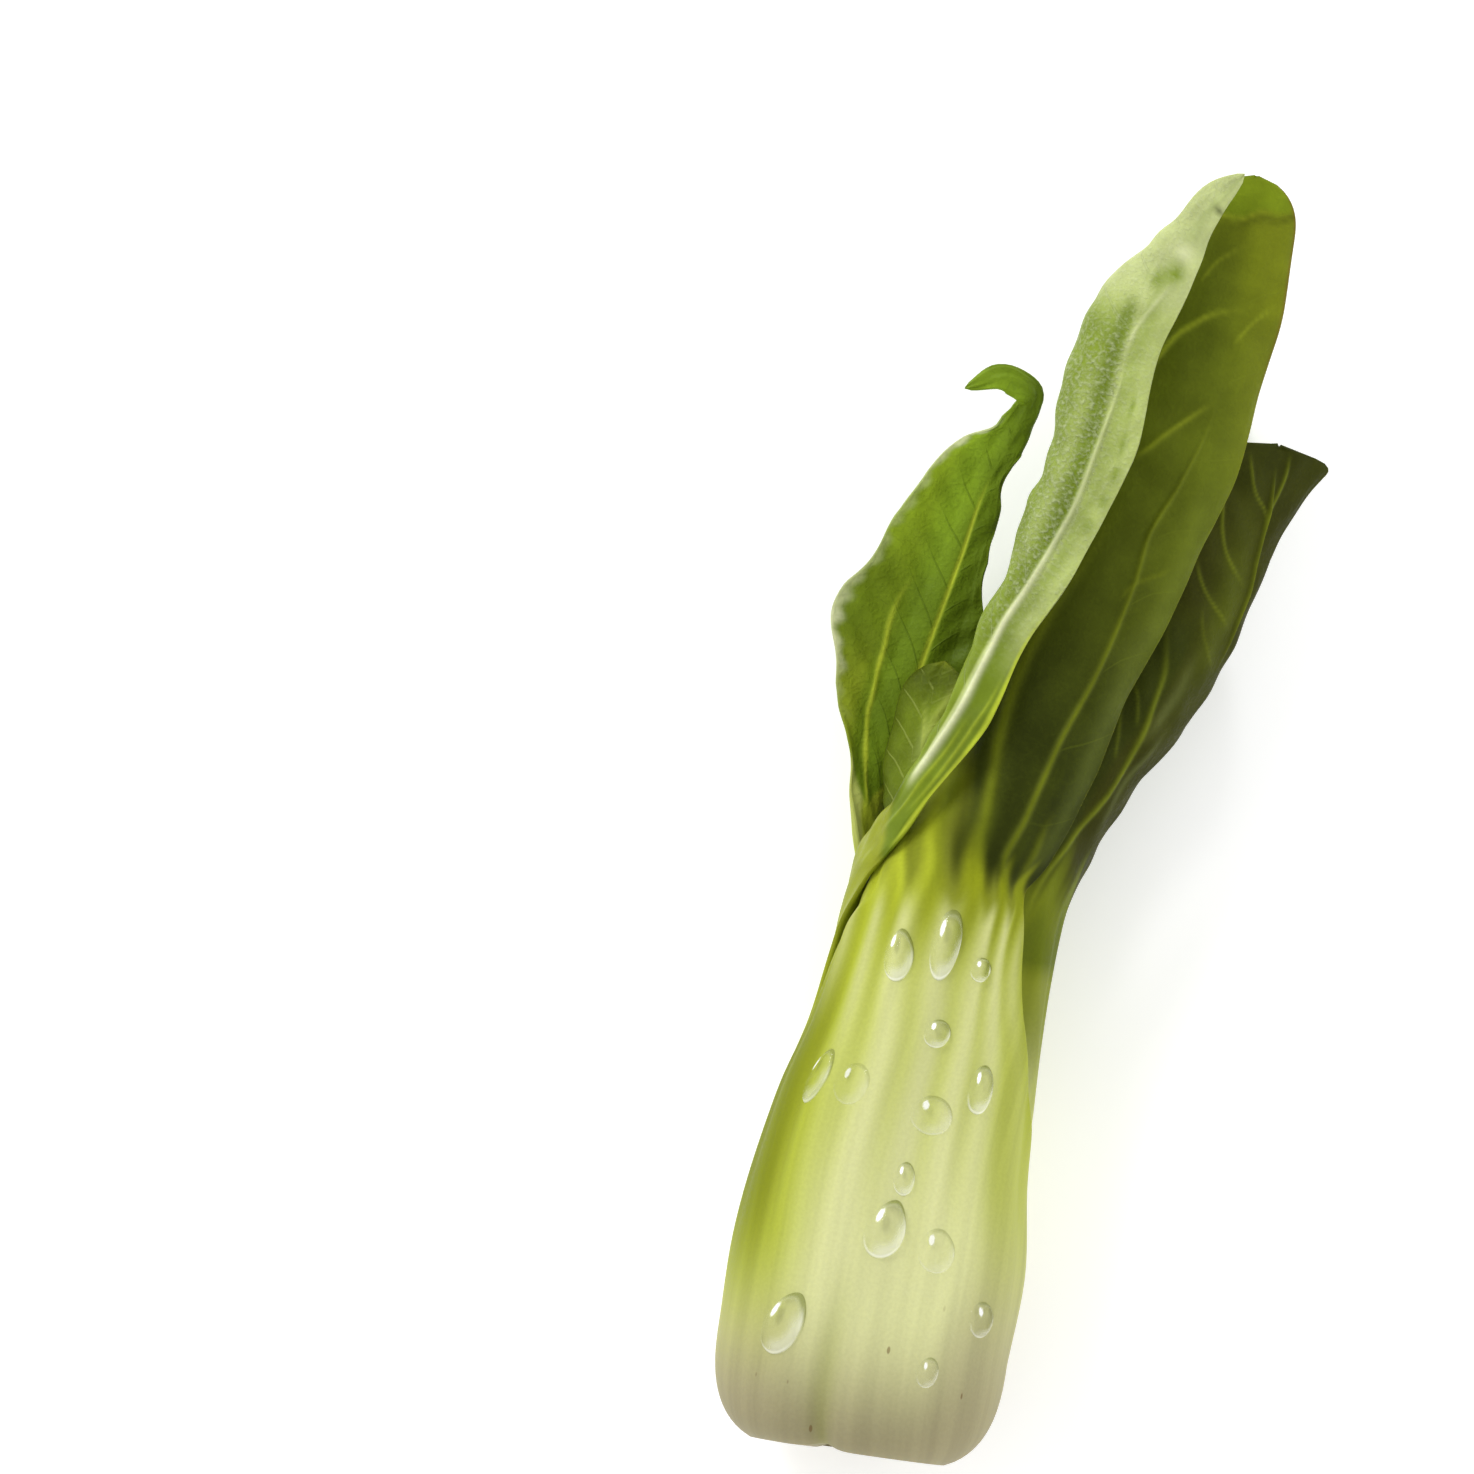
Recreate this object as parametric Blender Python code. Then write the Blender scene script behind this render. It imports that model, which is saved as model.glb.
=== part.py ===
"""A whole head of bok choy, lying on its side.

The head is a short stem with a rosette of leaves around it. Each leaf is one piece: a thick stalk that wraps
the head like an onion layer, and above the neck a thin blade on the stalk's midrib.
Tables are in millimetres in the head's own frame: +Y from the root end to the leaf tips, +X to the right and
+Z up, away from the surface that the head lies on. Angles around the head are in degrees from +Z towards +X.
"""

from dataclasses import dataclass

import bmesh
import bpy
import numpy as np

MM = 0.001
ORIGIN = (9.55, 100.25, 0.25)  # the point of the head's frame that becomes the part's origin
GAP = 0.5  # between two leaves that lie on each other, and between a leaf and the stem
BLADE = 0.8  # thickness of a blade
STALK_EDGE = 0.8  # thickness of a stalk at its margins
STALK_ROUNDNESS = 1.2  # power of the stalk's thickness profile; 1 makes it a parabola
PACKED = 13.0  # the length over which a stalk passes into its blade; half of it is below the neck
MARGIN_START, MARGIN_END = 2.0, 16.0  # an inner leaf drops over an outer margin between these angles past it
FOOT_START = 3.0  # how far below a leaf's foot the leaves inside it start to make room for it
SHARED_BELOW, PACKED_ABOVE = 7.0, 20.0  # heights between which the layers go over to their own thickness

SHOULDER = 17.0  # height at which the rounded bottom of the head ends
ROOT_SHARE = 0.38  # width of the head at its very bottom, as a share of that at the shoulder
ROOT_SQUARENESS = 2.6  # power of the superellipse between the two
# height, then the head's centre in x and z, and its half-width and half-depth
HEAD = [
    (17, -3.3, 21.0, 21.9, 20.6),
    (31, -2.9, 21.0, 22.2, 20.6),
    (45, -2.9, 21.0, 20.5, 19.2),
    (55, -2.2, 21.0, 19.3, 18.0),
    (65, -1.0, 21.0, 17.7, 17.0),
    (75, -0.2, 21.0, 16.9, 16.0),
    (85, 0.7, 21.0, 16.6, 15.6),
    (100, 2.8, 21.0, 17.6, 15.6),
]
BELLY, BED, BED_SHARPNESS = 1.07, 0.2, 40.0  # the underside is fuller, and flat where the head lies on it
CREASE_DEPTH, CREASE_WIDTH = 2.4, 10.0  # the fold in the front stalk's foot; its width is in degrees
CREASE_TOP = 32.0
CREASE_ANGLE, CREASE_LEAN = -18.0, 0.2  # where the fold starts, and its turn per millimetre of height
CREASE_LIFT, LIFT_TOP = 0.9, 12.0  # how far the fold's bottom end is drawn up, and where that runs out

# The heights at which every stalk has a row of points, so that stalks that lie on each other match.
HEIGHTS = [1, 2.5, 6, 9, 12, 17, 22, 28, 35, 44, 53, 62, 70]

ROW_SPACING = 1.25  # power of the spacing of a blade's rows, which are closer together near the neck
TIP_WIDTH = 0.04  # width of a blade's last row, as a share of its width there
RIB_FADE = 1.3  # power with which a midrib runs out towards the tip
RIB_WIDTH, RIB_TIP_WIDTH = 8.2, 1.2  # half-width of a midrib at the neck and at the tip

STEM_RADIUS, STEM_FOOT, STEM_SHOULDER, STEM_TOP = 7.5, 2.5, 7.0, 22.0
STEM_LAST_RING = 21.7  # the dome ends just below its top, in a small flat
STEM_RINGS, STEM_SIDES = 12, 24


@dataclass
class Leaf:
    """One leaf. A stalk row is a height, the angles of the left margin, the midrib and the right margin, and
    the thickness. A blade row is a point of the midrib's outer side (x, y, z), the way that side faces, the
    half-widths left and right of the midrib, and each side's bend towards the inner face, in degrees."""

    name: str
    stalk: list
    neck: float
    blade: list
    tip: float = 0.12
    rows: int = 18
    columns: int = 13


# From the outermost layer to the innermost.
LEAVES = [
    Leaf("crossing_leaf", [
        (1, -176, -144, -114, 4.6),
        (45, -168, -132, -104, 4.2),
        (70, -148, -112, -95, 3.4),
        (78, -132, -100, -86, 3.0),
        (84, -111, -84, -68, 2.8),
        (90, -94, -70, -58, 2.4),
        (98, -72, -56, -44, 2.1),
    ], 90, [
        (-9.4, 101, 35.2, -42, 2.6, 4.2, 80, 22),
        (-4.4, 113, 39.0, -28, 3.2, 6.0, 100, 18),
        (0.9, 127, 42.2, -13, 6.6, 5.2, 105, 10),
        (7.0, 138, 44.0, -6, 12, 4.2, 100, 5),
        (11.4, 155, 44.6, -4, 12.6, 5.6, 95, 5),
        (14.0, 173, 43.0, 0, 13, 5.2, 95, 5),
        (18.4, 187, 40.0, 4, 4.6, 5.2, 75, 5),
        (23.2, 195, 36.8, 6, 2.6, 2.4, 50, 5),
        (27.4, 199.4, 34.6, 8, 1.4, 1.4, 40, 5),
    ], tip=0.04),
    Leaf("front_leaf", [
        (1, -124, -8, 98, 5.4),
        (48, -116, -6, 92, 5.2),
        (56, -113, -5, 78, 5.0),
        (63, -110, -4, 66, 4.6),
        (72, -104, -2, 53, 4.0),
        (80, -90, 2, 45, 3.6),
        (90, -62, 8, 35, 3.2),
    ], 90, [
        (10.0, 103, 36.4, 12, 13, 8.4, 50, 36),
        (12.7, 113, 36.2, 12, 14, 8.4, 46, 36),
        (16.9, 127, 35.8, 12, 15, 8.6, 42, 38),
        (22.7, 145, 34.6, 10, 17, 8.8, 36, 40),
        (27.0, 165, 32.8, 8, 15, 8.8, 32, 40),
        (28.8, 182, 31.8, 6, 12, 8.0, 28, 30),
        (29.2, 199.4, 30.5, 4, 9, 8, 20, 20),
    ], tip=0.07, columns=21),
    Leaf("right_leaf", [
        (1, 62, 112, 160, 4.6),
        (56, 56, 100, 140, 4.0),
        (72, 40, 94, 128, 3.4),
        (90, 24, 88, 116, 2.6),
    ], 88, [
        (23.3, 103, 19.0, 78, 12, 6, 60, 50),
        (31.6, 118, 18.5, 72, 14.5, 7, 60, 56),
        (36.4, 132, 18.5, 60, 14, 5, 40, 46),
        (38.4, 147, 19.5, 50, 15, 5.8, 30, 20),
        (39.0, 159.8, 19.5, 36, 15, 12.4, 22, 10),
    ], tip=0.03),
    Leaf("under_leaf", [
        (2.5, 134, 180, 226, 4.6),
        (84, 148, 182, 214, 2.8),
    ], 86, [
        (4.0, 97, 4.4, 182, 9, 9, 36, 36),
        (9.5, 113, 1.8, 182, 11, 11, 34, 34),
        (16.5, 132, 0.8, 182, 13, 13, 30, 30),
        (22.5, 150, 1.2, 182, 13, 12, 30, 30),
        (27.5, 168, 3.5, 182, 9, 9, 26, 26),
    ], tip=0.2),
    Leaf("left_leaf", [
        (2.5, -176, -136, -92, 4.0),
        (50, -166, -128, -86, 3.4),
        (70, -152, -118, -88, 3.0),
        (84, -136, -118, -106, 2.8),
    ], 88, [
        (-14.6, 97, 14.5, -128, 5, 5.5, 30, 20),
        (-12.0, 110, 14.5, -160, 7, 10.8, 26, 18),
        (-9.2, 123, 15.0, -172, 8, 16.2, 14, 20),
        (-6.4, 136, 16.5, -175, 4.6, 12.6, 10, 18),
        (-4.0, 148, 18.5, -175, 3.4, 9.0, 10, 16),
        (-0.8, 157, 21.5, -172, 2.4, 3.6, 14, 16),
        (0.2, 162.6, 25.0, -165, 2.4, 2.6, 16, 16),
        (-3.2, 164.0, 27.0, -160, 2.2, 2.2, 14, 14),
        (-9.4, 161.6, 26.5, -160, 1.2, 1.2, 10, 10),
    ], tip=0.05),
    Leaf("inner_left_leaf", [
        (6, -102, -58, -16, 3.4),
        (76, -92, -62, -34, 2.2),
    ], 78, [
        (-9.8, 89, 25.4, -58, 5.5, 4.5, 46, 46),
        (-9.8, 101, 26.0, -40, 6.6, 4.5, 40, 30),
        (-8.4, 111, 25.0, -30, 6.6, 5, 34, 24),
        (-6.4, 120.5, 24.0, -25, 4.5, 5.5, 20, 20),
    ], tip=0.1, rows=9, columns=9),
    Leaf("inner_right_leaf", [
        (6, 12, 54, 98, 3.4),
        (76, 24, 56, 86, 2.2),
    ], 78, [
        (9.4, 89, 28.0, 48, 6, 6, 50, 50),
        (13.5, 104, 27.5, 36, 7, 6, 46, 46),
        (18.5, 118, 26.5, 30, 7, 6, 40, 40),
        (22.5, 131, 25.0, 26, 5, 5, 30, 30),
    ], tip=0.3, rows=9, columns=9),
    Leaf("under_right_leaf", [
        (6, 100, 140, 180, 3.4),
        (76, 118, 144, 168, 2.2),
    ], 80, [
        (10.0, 91, 11.4, 140, 5, 5, 50, 50),
        (15.0, 105, 8.6, 152, 6, 6, 44, 44),
        (22.5, 120, 7.2, 162, 7, 7, 36, 36),
        (27.5, 134, 7.0, 168, 5, 5, 30, 30),
    ], tip=0.3, rows=9, columns=9),
    Leaf("inner_under_leaf", [
        (9, -202, -163, -127, 3.0),
        (66, -190, -160, -132, 2.0),
    ], 69, [
        (-2.5, 79, 13.0, -165, 5, 5, 56, 56),
        (0.5, 92, 12.0, -170, 6, 6, 46, 46),
        (4.5, 106, 11.0, -178, 6, 6, 36, 36),
        (8.0, 118, 10.5, -180, 4, 4, 26, 26),
    ], tip=0.3, rows=9, columns=9),
    Leaf("heart_leaf_1", [
        (12, -50, 0, 50, 2.6),
        (52, -40, 0, 40, 1.6),
    ], 58, [
        (0.5, 68, 28.0, 5, 5, 5, 66, 66),
        (2.0, 81, 28.5, 10, 5.5, 5.5, 56, 56),
        (4.0, 94, 27.5, 12, 4, 4, 40, 40),
    ], tip=0.3, rows=7, columns=9),
    Leaf("heart_leaf_2", [
        (12, 80, 124, 168, 2.4),
        (46, 90, 130, 168, 1.5),
    ], 51, [
        (3.4, 60, 17.5, 126, 4.5, 4.5, 66, 66),
        (5.0, 71, 17.5, 118, 5, 5, 56, 56),
        (6.8, 82, 18.0, 108, 3.5, 3.5, 40, 40),
    ], tip=0.3, rows=7, columns=9),
    Leaf("heart_leaf_3", [
        (12, -192, -150, -108, 2.2),
        (42, -190, -153, -116, 1.4),
    ], 46, [
        (-3.6, 54, 17.0, -150, 4, 4, 66, 66),
        (-3.2, 63, 17.4, -145, 4.5, 4.5, 56, 56),
        (-2.4, 72, 18.0, -140, 3, 3, 40, 40),
    ], tip=0.3, rows=7, columns=9),
]

OUTER_COLOUR, OUTER_ROUGHNESS = (0.13, 0.24, 0.03), 0.4  # the five leaves that are seen
INNER_COLOUR, INNER_ROUGHNESS = (0.55, 0.66, 0.22), 0.45
STEM_COLOUR, STEM_ROUGHNESS = (0.86, 0.86, 0.74), 0.6
OUTER_LEAVES = 5


def ramp(x, low, high):
    """Rises smoothly from 0 at low to 1 at high."""
    u = np.clip((np.asarray(x, float) - low) / (high - low), 0, 1)
    return u * u * (3 - 2 * u)


def curve_through(knots, x):
    """A smooth curve through the knots, whose first column is x: each span is a cubic whose slope at a knot
    is that of the parabola through the knot and its neighbours."""
    knots = np.array(knots, float)
    at, value = knots[:, 0], knots[:, 1:]
    slope = np.gradient(value, at, axis=0)
    x = np.clip(x, at[0], at[-1])
    i = np.clip(np.searchsorted(at, x, side="right") - 1, 0, len(at) - 2)
    span = (at[i + 1] - at[i])[..., None]
    u = (x - at[i])[..., None] / span
    return (
        value[i] * (1 + 2 * u) * (1 - u) ** 2
        + slope[i] * span * u * (1 - u) ** 2
        + value[i + 1] * u * u * (3 - 2 * u)
        + slope[i + 1] * span * u * u * (u - 1)
    )


def facing(angle):
    """The outward direction at an angle around the head."""
    a = np.radians(angle)
    return np.stack([np.sin(a), np.zeros_like(a), np.cos(a)], -1)


def envelope(y, angle):
    """The head's centre at a height, and its outer radius there at an angle: an ellipse whose size follows a
    superellipse below the shoulder, cut softly by the level of the bed under it, less the crease."""
    head = curve_through(HEAD, y)
    sink = np.clip((SHOULDER - y) / SHOULDER, 0, 1)
    grown = (1 - sink**ROOT_SQUARENESS) ** (1 / ROOT_SQUARENESS)
    share = ROOT_SHARE + (1 - ROOT_SHARE) * grown
    a = np.radians(angle)
    deep = head[..., 3] * np.where(np.cos(a) < 0, BELLY, 1)
    radius = share / np.hypot(np.sin(a) / head[..., 2], np.cos(a) / deep)
    above_bed = (head[..., 1] - BED) / np.maximum(-np.cos(a), 0.1)
    radius = radius / (1 + (radius / above_bed) ** BED_SHARPNESS) ** (1 / BED_SHARPNESS)
    fold = crease(y, angle)
    lift = CREASE_LIFT * fold * (1 - ramp(y, 0, LIFT_TOP))
    centre = np.stack([head[..., 0], y + lift, head[..., 1]], -1)
    return centre, radius - CREASE_DEPTH * fold * (1 - ramp(y, 0, CREASE_TOP))


def crease(y, angle):
    """1 along the middle of the fold, fading to 0 on both sides of it."""
    off = (angle - CREASE_ANGLE - CREASE_LEAN * y) / CREASE_WIDTH
    return np.exp(-(off**2))


def stem_radius(y):
    """The stem's radius at a height: a short cylinder with a dome on top."""
    rise = np.clip((y - STEM_SHOULDER) / (STEM_TOP - STEM_SHOULDER), 0, 1)
    return STEM_RADIUS * np.sqrt(1 - rise**2)


def stalk_at(leaf, y):
    """The stalk's midrib angle, its spans left and right of it, and its thickness, at a height."""
    left, middle, right, thick = np.moveaxis(curve_through(leaf.stalk, y), -1, 0)
    return middle, middle - left, right - middle, thick


def layer(leaf, y, angle):
    """How thick a leaf lies at an angle, and the drop that it makes for the leaves inside it. The drop runs
    out smoothly past the margins."""
    middle, left, right, thick = stalk_at(leaf, y)
    off = (angle - middle + 180) % 360 - 180
    u = np.where(off < 0, -off / left, off / right)
    profile = STALK_EDGE + (thick - STALK_EDGE) * np.clip(1 - u * u, 0, 1) ** STALK_ROUNDNESS
    past = (u - 1) * np.where(off < 0, left, right)
    foot = leaf.stalk[0][0]
    present = (1 - ramp(past, MARGIN_START, MARGIN_END)) * ramp(y, foot - FOOT_START, foot)
    return profile, (profile + GAP) * present


def packed(index, y, angle, inner):
    """A point on the outer or inner face of a stalk packed into the head: the envelope, less the layers
    outside it. Low down the layers share all the space out to the envelope, and higher up each has its own
    thickness."""
    centre, radius = envelope(y, angle)
    room = radius - stem_radius(y) - GAP
    layers = [layer(leaf, y, angle) for leaf in LEAVES]
    filled = room / sum(drop for _, drop in layers)
    share = filled + (np.minimum(filled, 1) - filled) * ramp(y, SHARED_BELOW, PACKED_ABOVE)
    outside = sum((drop for _, drop in layers[:index]), np.zeros_like(radius))
    radius = radius - share * outside
    if inner:
        radius = radius - share * layers[index][0]
    return centre + facing(angle) * radius[..., None]


def spine(index):
    """Rows along a leaf, as in its blade table, from the last packed rows to the tip."""
    leaf = LEAVES[index]
    rows = []
    for y in (leaf.neck - PACKED, leaf.neck - PACKED / 2):
        middle, left, right, _ = stalk_at(leaf, y)
        point = packed(index, np.float64(y), middle, False)
        centre, _ = envelope(y, middle)
        per_degree = np.radians(np.linalg.norm((point - centre)[[0, 2]]))
        rows.append((*point, middle, left * per_degree, right * per_degree, left, right))
    return np.array(rows + [tuple(row) for row in leaf.blade], float)


def spread(index, along):
    """The blade's outer face, on columns from margin to margin, at distances along the spine. Each row is a
    line bent by an angle that grows from the midrib to the margin."""
    leaf = LEAVES[index]
    rows = spine(index)
    steps = np.linalg.norm(np.diff(rows[:, :3], axis=0), axis=1)
    reach = np.concatenate([[0], np.cumsum(steps)])
    knots = np.column_stack([reach, rows])
    at = along * reach[-1]
    row = curve_through(knots, at)
    step = curve_through(knots, at + 0.5) - curve_through(knots, at - 0.5)
    tangent = step[:, :3] / np.linalg.norm(step[:, :3], axis=1)[:, None]
    out = facing(row[:, 3])
    side = np.cross(tangent, out)
    side /= np.linalg.norm(side, axis=1)[:, None]
    out = np.cross(side, tangent)
    tip = np.clip((along - (1 - leaf.tip)) / leaf.tip, 0, 1)
    narrow = np.sqrt(np.clip(1 - tip**2, 0, 1))[:, None]
    t = np.linspace(-1, 1, leaf.columns)[None, :]
    width = np.where(t < 0, row[:, 4:5], row[:, 5:6]) * np.maximum(narrow, TIP_WIDTH)
    bend = np.radians(np.where(t < 0, row[:, 6:7], row[:, 7:8])) * narrow
    angle = np.maximum(bend * np.abs(t), 1e-6)
    across = t * width * np.sin(angle) / angle
    deep = np.abs(t) * width * (1 - np.cos(angle)) / angle
    points = row[:, None, :3] + across[..., None] * side[:, None, :] - deep[..., None] * out[:, None, :]
    return points, t * width


def leaf_faces(index):
    """The outer and inner faces of a leaf as two grids, rows from foot to tip and columns from margin to
    margin: the packed stalk, then the blade, blended over the neck."""
    leaf = LEAVES[index]
    foot, last = leaf.stalk[0][0], leaf.neck - PACKED - 2
    heights = np.array([height for height in HEIGHTS if foot <= height < last])
    count = len(heights)
    along = np.linspace(0, 1, leaf.rows) ** ROW_SPACING
    blade, across = spread(index, along)
    t = np.linspace(-1, 1, leaf.columns)[None, :]
    y = np.concatenate([heights, np.minimum(blade[:, leaf.columns // 2, 1], leaf.neck + PACKED)])[:, None]
    y = np.broadcast_to(y, (count + leaf.rows, leaf.columns))
    middle, left, right, thick = stalk_at(leaf, y)
    angle = middle + t * np.where(t < 0, left, right)
    outer, inner = packed(index, y, angle, False), packed(index, y, angle, True)
    along_rows = np.gradient(blade, axis=0)
    along_columns = np.gradient(blade, axis=1)
    normal = np.cross(along_columns, along_rows)
    normal /= np.linalg.norm(normal, axis=2)[..., None]
    rib = ((1 - along) ** RIB_FADE)[:, None]
    rib_width = RIB_TIP_WIDTH + (RIB_WIDTH - RIB_TIP_WIDTH) * rib
    profile = np.clip(1 - (across / rib_width) ** 2, 0, 1) ** STALK_ROUNDNESS
    depth = BLADE + (leaf.stalk[-1][-1] - BLADE) * rib * profile
    mix = ramp(y[count:], leaf.neck - PACKED / 2, leaf.neck + PACKED / 2)[..., None]
    outer[count:] = outer[count:] * (1 - mix) + blade * mix
    inner[count:] = inner[count:] * (1 - mix) + (blade - normal * depth[..., None]) * mix
    return outer, inner


def placed(points):
    """Points of the head's frame in metres, from the part's origin."""
    return (np.asarray(points, float) - ORIGIN) * MM


def add_object(name, mesh, colour, rough):
    material = bpy.data.materials.new(name)
    material.use_nodes = True
    shader = material.node_tree.nodes["Principled BSDF"]
    shader.inputs["Base Color"].default_value = (*colour, 1)
    shader.inputs["Roughness"].default_value = rough
    mesh.materials.append(material)
    mesh.shade_smooth()
    obj = bpy.data.objects.new(name, mesh)
    bpy.context.scene.collection.objects.link(obj)
    return obj


def loft(name, rings):
    """A closed body through rings of points: quads between one ring and the next, and at each end a strip of
    quads from the ring's one half to the other. Seen from outside, a ring's first half runs to the right when
    the next ring is above it."""
    bm = bmesh.new()
    loops = [[bm.verts.new(point) for point in ring] for ring in rings]
    size = len(loops[0])
    for one, two in zip(loops, loops[1:]):
        for i in range(size):
            j = (i + 1) % size
            bm.faces.new((one[i], one[j], two[j], two[i]))
    for i in range(size // 2 - 1):
        corners = (i, i + 1, size - 2 - i, size - 1 - i)
        bm.faces.new([loops[-1][corner] for corner in corners])
        bm.faces.new([loops[0][corner] for corner in reversed(corners)])
    bmesh.ops.triangulate(bm, faces=bm.faces[:])
    mesh = bpy.data.meshes.new(name)
    bm.to_mesh(mesh)
    bm.free()
    return mesh


def make_leaf(index):
    leaf = LEAVES[index]
    outer, inner = leaf_faces(index)
    rings = np.concatenate([outer, inner[:, ::-1]], axis=1)
    look = (OUTER_COLOUR, OUTER_ROUGHNESS) if index < OUTER_LEAVES else (INNER_COLOUR, INNER_ROUGHNESS)
    add_object(leaf.name, loft(leaf.name, placed(rings)), *look)


def make_stem():
    """The trimmed stem: a disc at the cut end, its side and its dome, turned round the head's axis."""
    heights = STEM_FOOT + (STEM_LAST_RING - STEM_FOOT) * np.sin(np.linspace(0, np.pi / 2, STEM_RINGS))
    centre, _ = envelope(heights, np.zeros_like(heights))
    around = facing(np.arange(STEM_SIDES) * 360 / STEM_SIDES)
    rings = centre[:, None, :] + around[None] * stem_radius(heights)[:, None, None]
    add_object("stem", loft("stem", placed(rings)), STEM_COLOUR, STEM_ROUGHNESS)


def main():
    for obj in list(bpy.data.objects):
        bpy.data.objects.remove(obj)
    for index in range(len(LEAVES)):
        make_leaf(index)
    make_stem()


main()
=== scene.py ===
"""The looks of a head of bok choy that lies on its side: every leaf as a fluted stalk that runs over into a
veined blade, the stem's cut end, water drops, and the stage.

Tables and shapes are in millimetres in the head's own frame, as the leaves' construction has them: +Y from
the root end to the leaf tips, +X to the right, +Z up. Angles around the head are in degrees from +Z
towards +X.
"""

from dataclasses import dataclass

import bpy
import numpy as np
from mathutils import Matrix, Vector


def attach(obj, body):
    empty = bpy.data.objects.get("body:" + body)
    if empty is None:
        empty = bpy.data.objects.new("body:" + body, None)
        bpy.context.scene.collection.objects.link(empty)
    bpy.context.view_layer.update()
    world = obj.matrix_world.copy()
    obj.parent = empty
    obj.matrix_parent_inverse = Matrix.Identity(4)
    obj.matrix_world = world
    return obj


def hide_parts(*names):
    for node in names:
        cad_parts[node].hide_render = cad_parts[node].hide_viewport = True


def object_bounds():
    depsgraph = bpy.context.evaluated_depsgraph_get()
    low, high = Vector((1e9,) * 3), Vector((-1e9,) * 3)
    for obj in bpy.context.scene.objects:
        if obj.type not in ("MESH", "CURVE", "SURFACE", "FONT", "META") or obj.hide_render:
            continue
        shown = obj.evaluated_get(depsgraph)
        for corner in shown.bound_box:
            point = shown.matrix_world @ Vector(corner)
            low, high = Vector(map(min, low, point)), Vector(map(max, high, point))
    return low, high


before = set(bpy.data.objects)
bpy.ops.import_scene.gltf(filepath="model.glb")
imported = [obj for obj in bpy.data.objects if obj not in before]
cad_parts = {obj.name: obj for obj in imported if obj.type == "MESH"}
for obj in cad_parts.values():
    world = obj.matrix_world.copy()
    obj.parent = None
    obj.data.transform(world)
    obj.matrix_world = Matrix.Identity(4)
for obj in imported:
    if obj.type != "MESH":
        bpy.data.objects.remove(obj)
CAD_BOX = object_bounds()

bl_info = {
    "name": "Bok choy",
    "version": (1, 0, 0),
    "blender": (4, 5, 0),
    "location": "View3D > Sidebar > Bok choy",
    "description": "Builds the leaves, stem, water drops and stage of a head of bok choy",
    "category": "Add Mesh",
}

# The head's construction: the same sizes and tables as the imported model's.
MM = 0.001
ORIGIN = (9.55, 100.25, 0.25)  # the point of the head's frame that is the part's origin
GAP = 0.5
BLADE = 0.8
STALK_EDGE = 0.8
STALK_ROUNDNESS = 1.2
PACKED = 13.0
MARGIN_START, MARGIN_END = 2.0, 16.0
FOOT_START = 3.0
SHARED_BELOW, PACKED_ABOVE = 7.0, 20.0
SHOULDER = 17.0
ROOT_SHARE = 0.38
ROOT_SQUARENESS = 2.6
HEAD = [
    (17, -3.3, 21.0, 21.9, 20.6),
    (31, -2.9, 21.0, 22.2, 20.6),
    (45, -2.9, 21.0, 20.5, 19.2),
    (55, -2.2, 21.0, 19.3, 18.0),
    (65, -1.0, 21.0, 17.7, 17.0),
    (75, -0.2, 21.0, 16.9, 16.0),
    (85, 0.7, 21.0, 16.6, 15.6),
    (100, 2.8, 21.0, 17.6, 15.6),
]
BELLY, BED, BED_SHARPNESS = 1.07, 0.2, 40.0
CREASE_DEPTH, CREASE_WIDTH, CREASE_TOP = 2.4, 10.0, 32.0
CREASE_ANGLE, CREASE_LEAN = -18.0, 0.2
CREASE_LIFT, LIFT_TOP = 0.9, 12.0
ROW_SPACING = 1.25
TIP_WIDTH = 0.04
RIB_FADE = 1.3
RIB_WIDTH, RIB_TIP_WIDTH = 8.2, 1.2
STEM_RADIUS, STEM_FOOT, STEM_SHOULDER, STEM_TOP = 7.5, 2.5, 7.0, 22.0
STEM_LAST_RING = 21.7


@dataclass
class Leaf:
    """One leaf. A stalk row is a height, the angles of the left margin, the midrib and the right margin, and
    the thickness. A blade row is a point of the midrib's outer side (x, y, z), the way that side faces, the
    half-widths left and right of the midrib, and each side's bend towards the inner face, in degrees."""

    name: str
    stalk: list
    neck: float
    blade: list
    tip: float = 0.12
    columns: int = 97
    rows: int = 170


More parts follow.
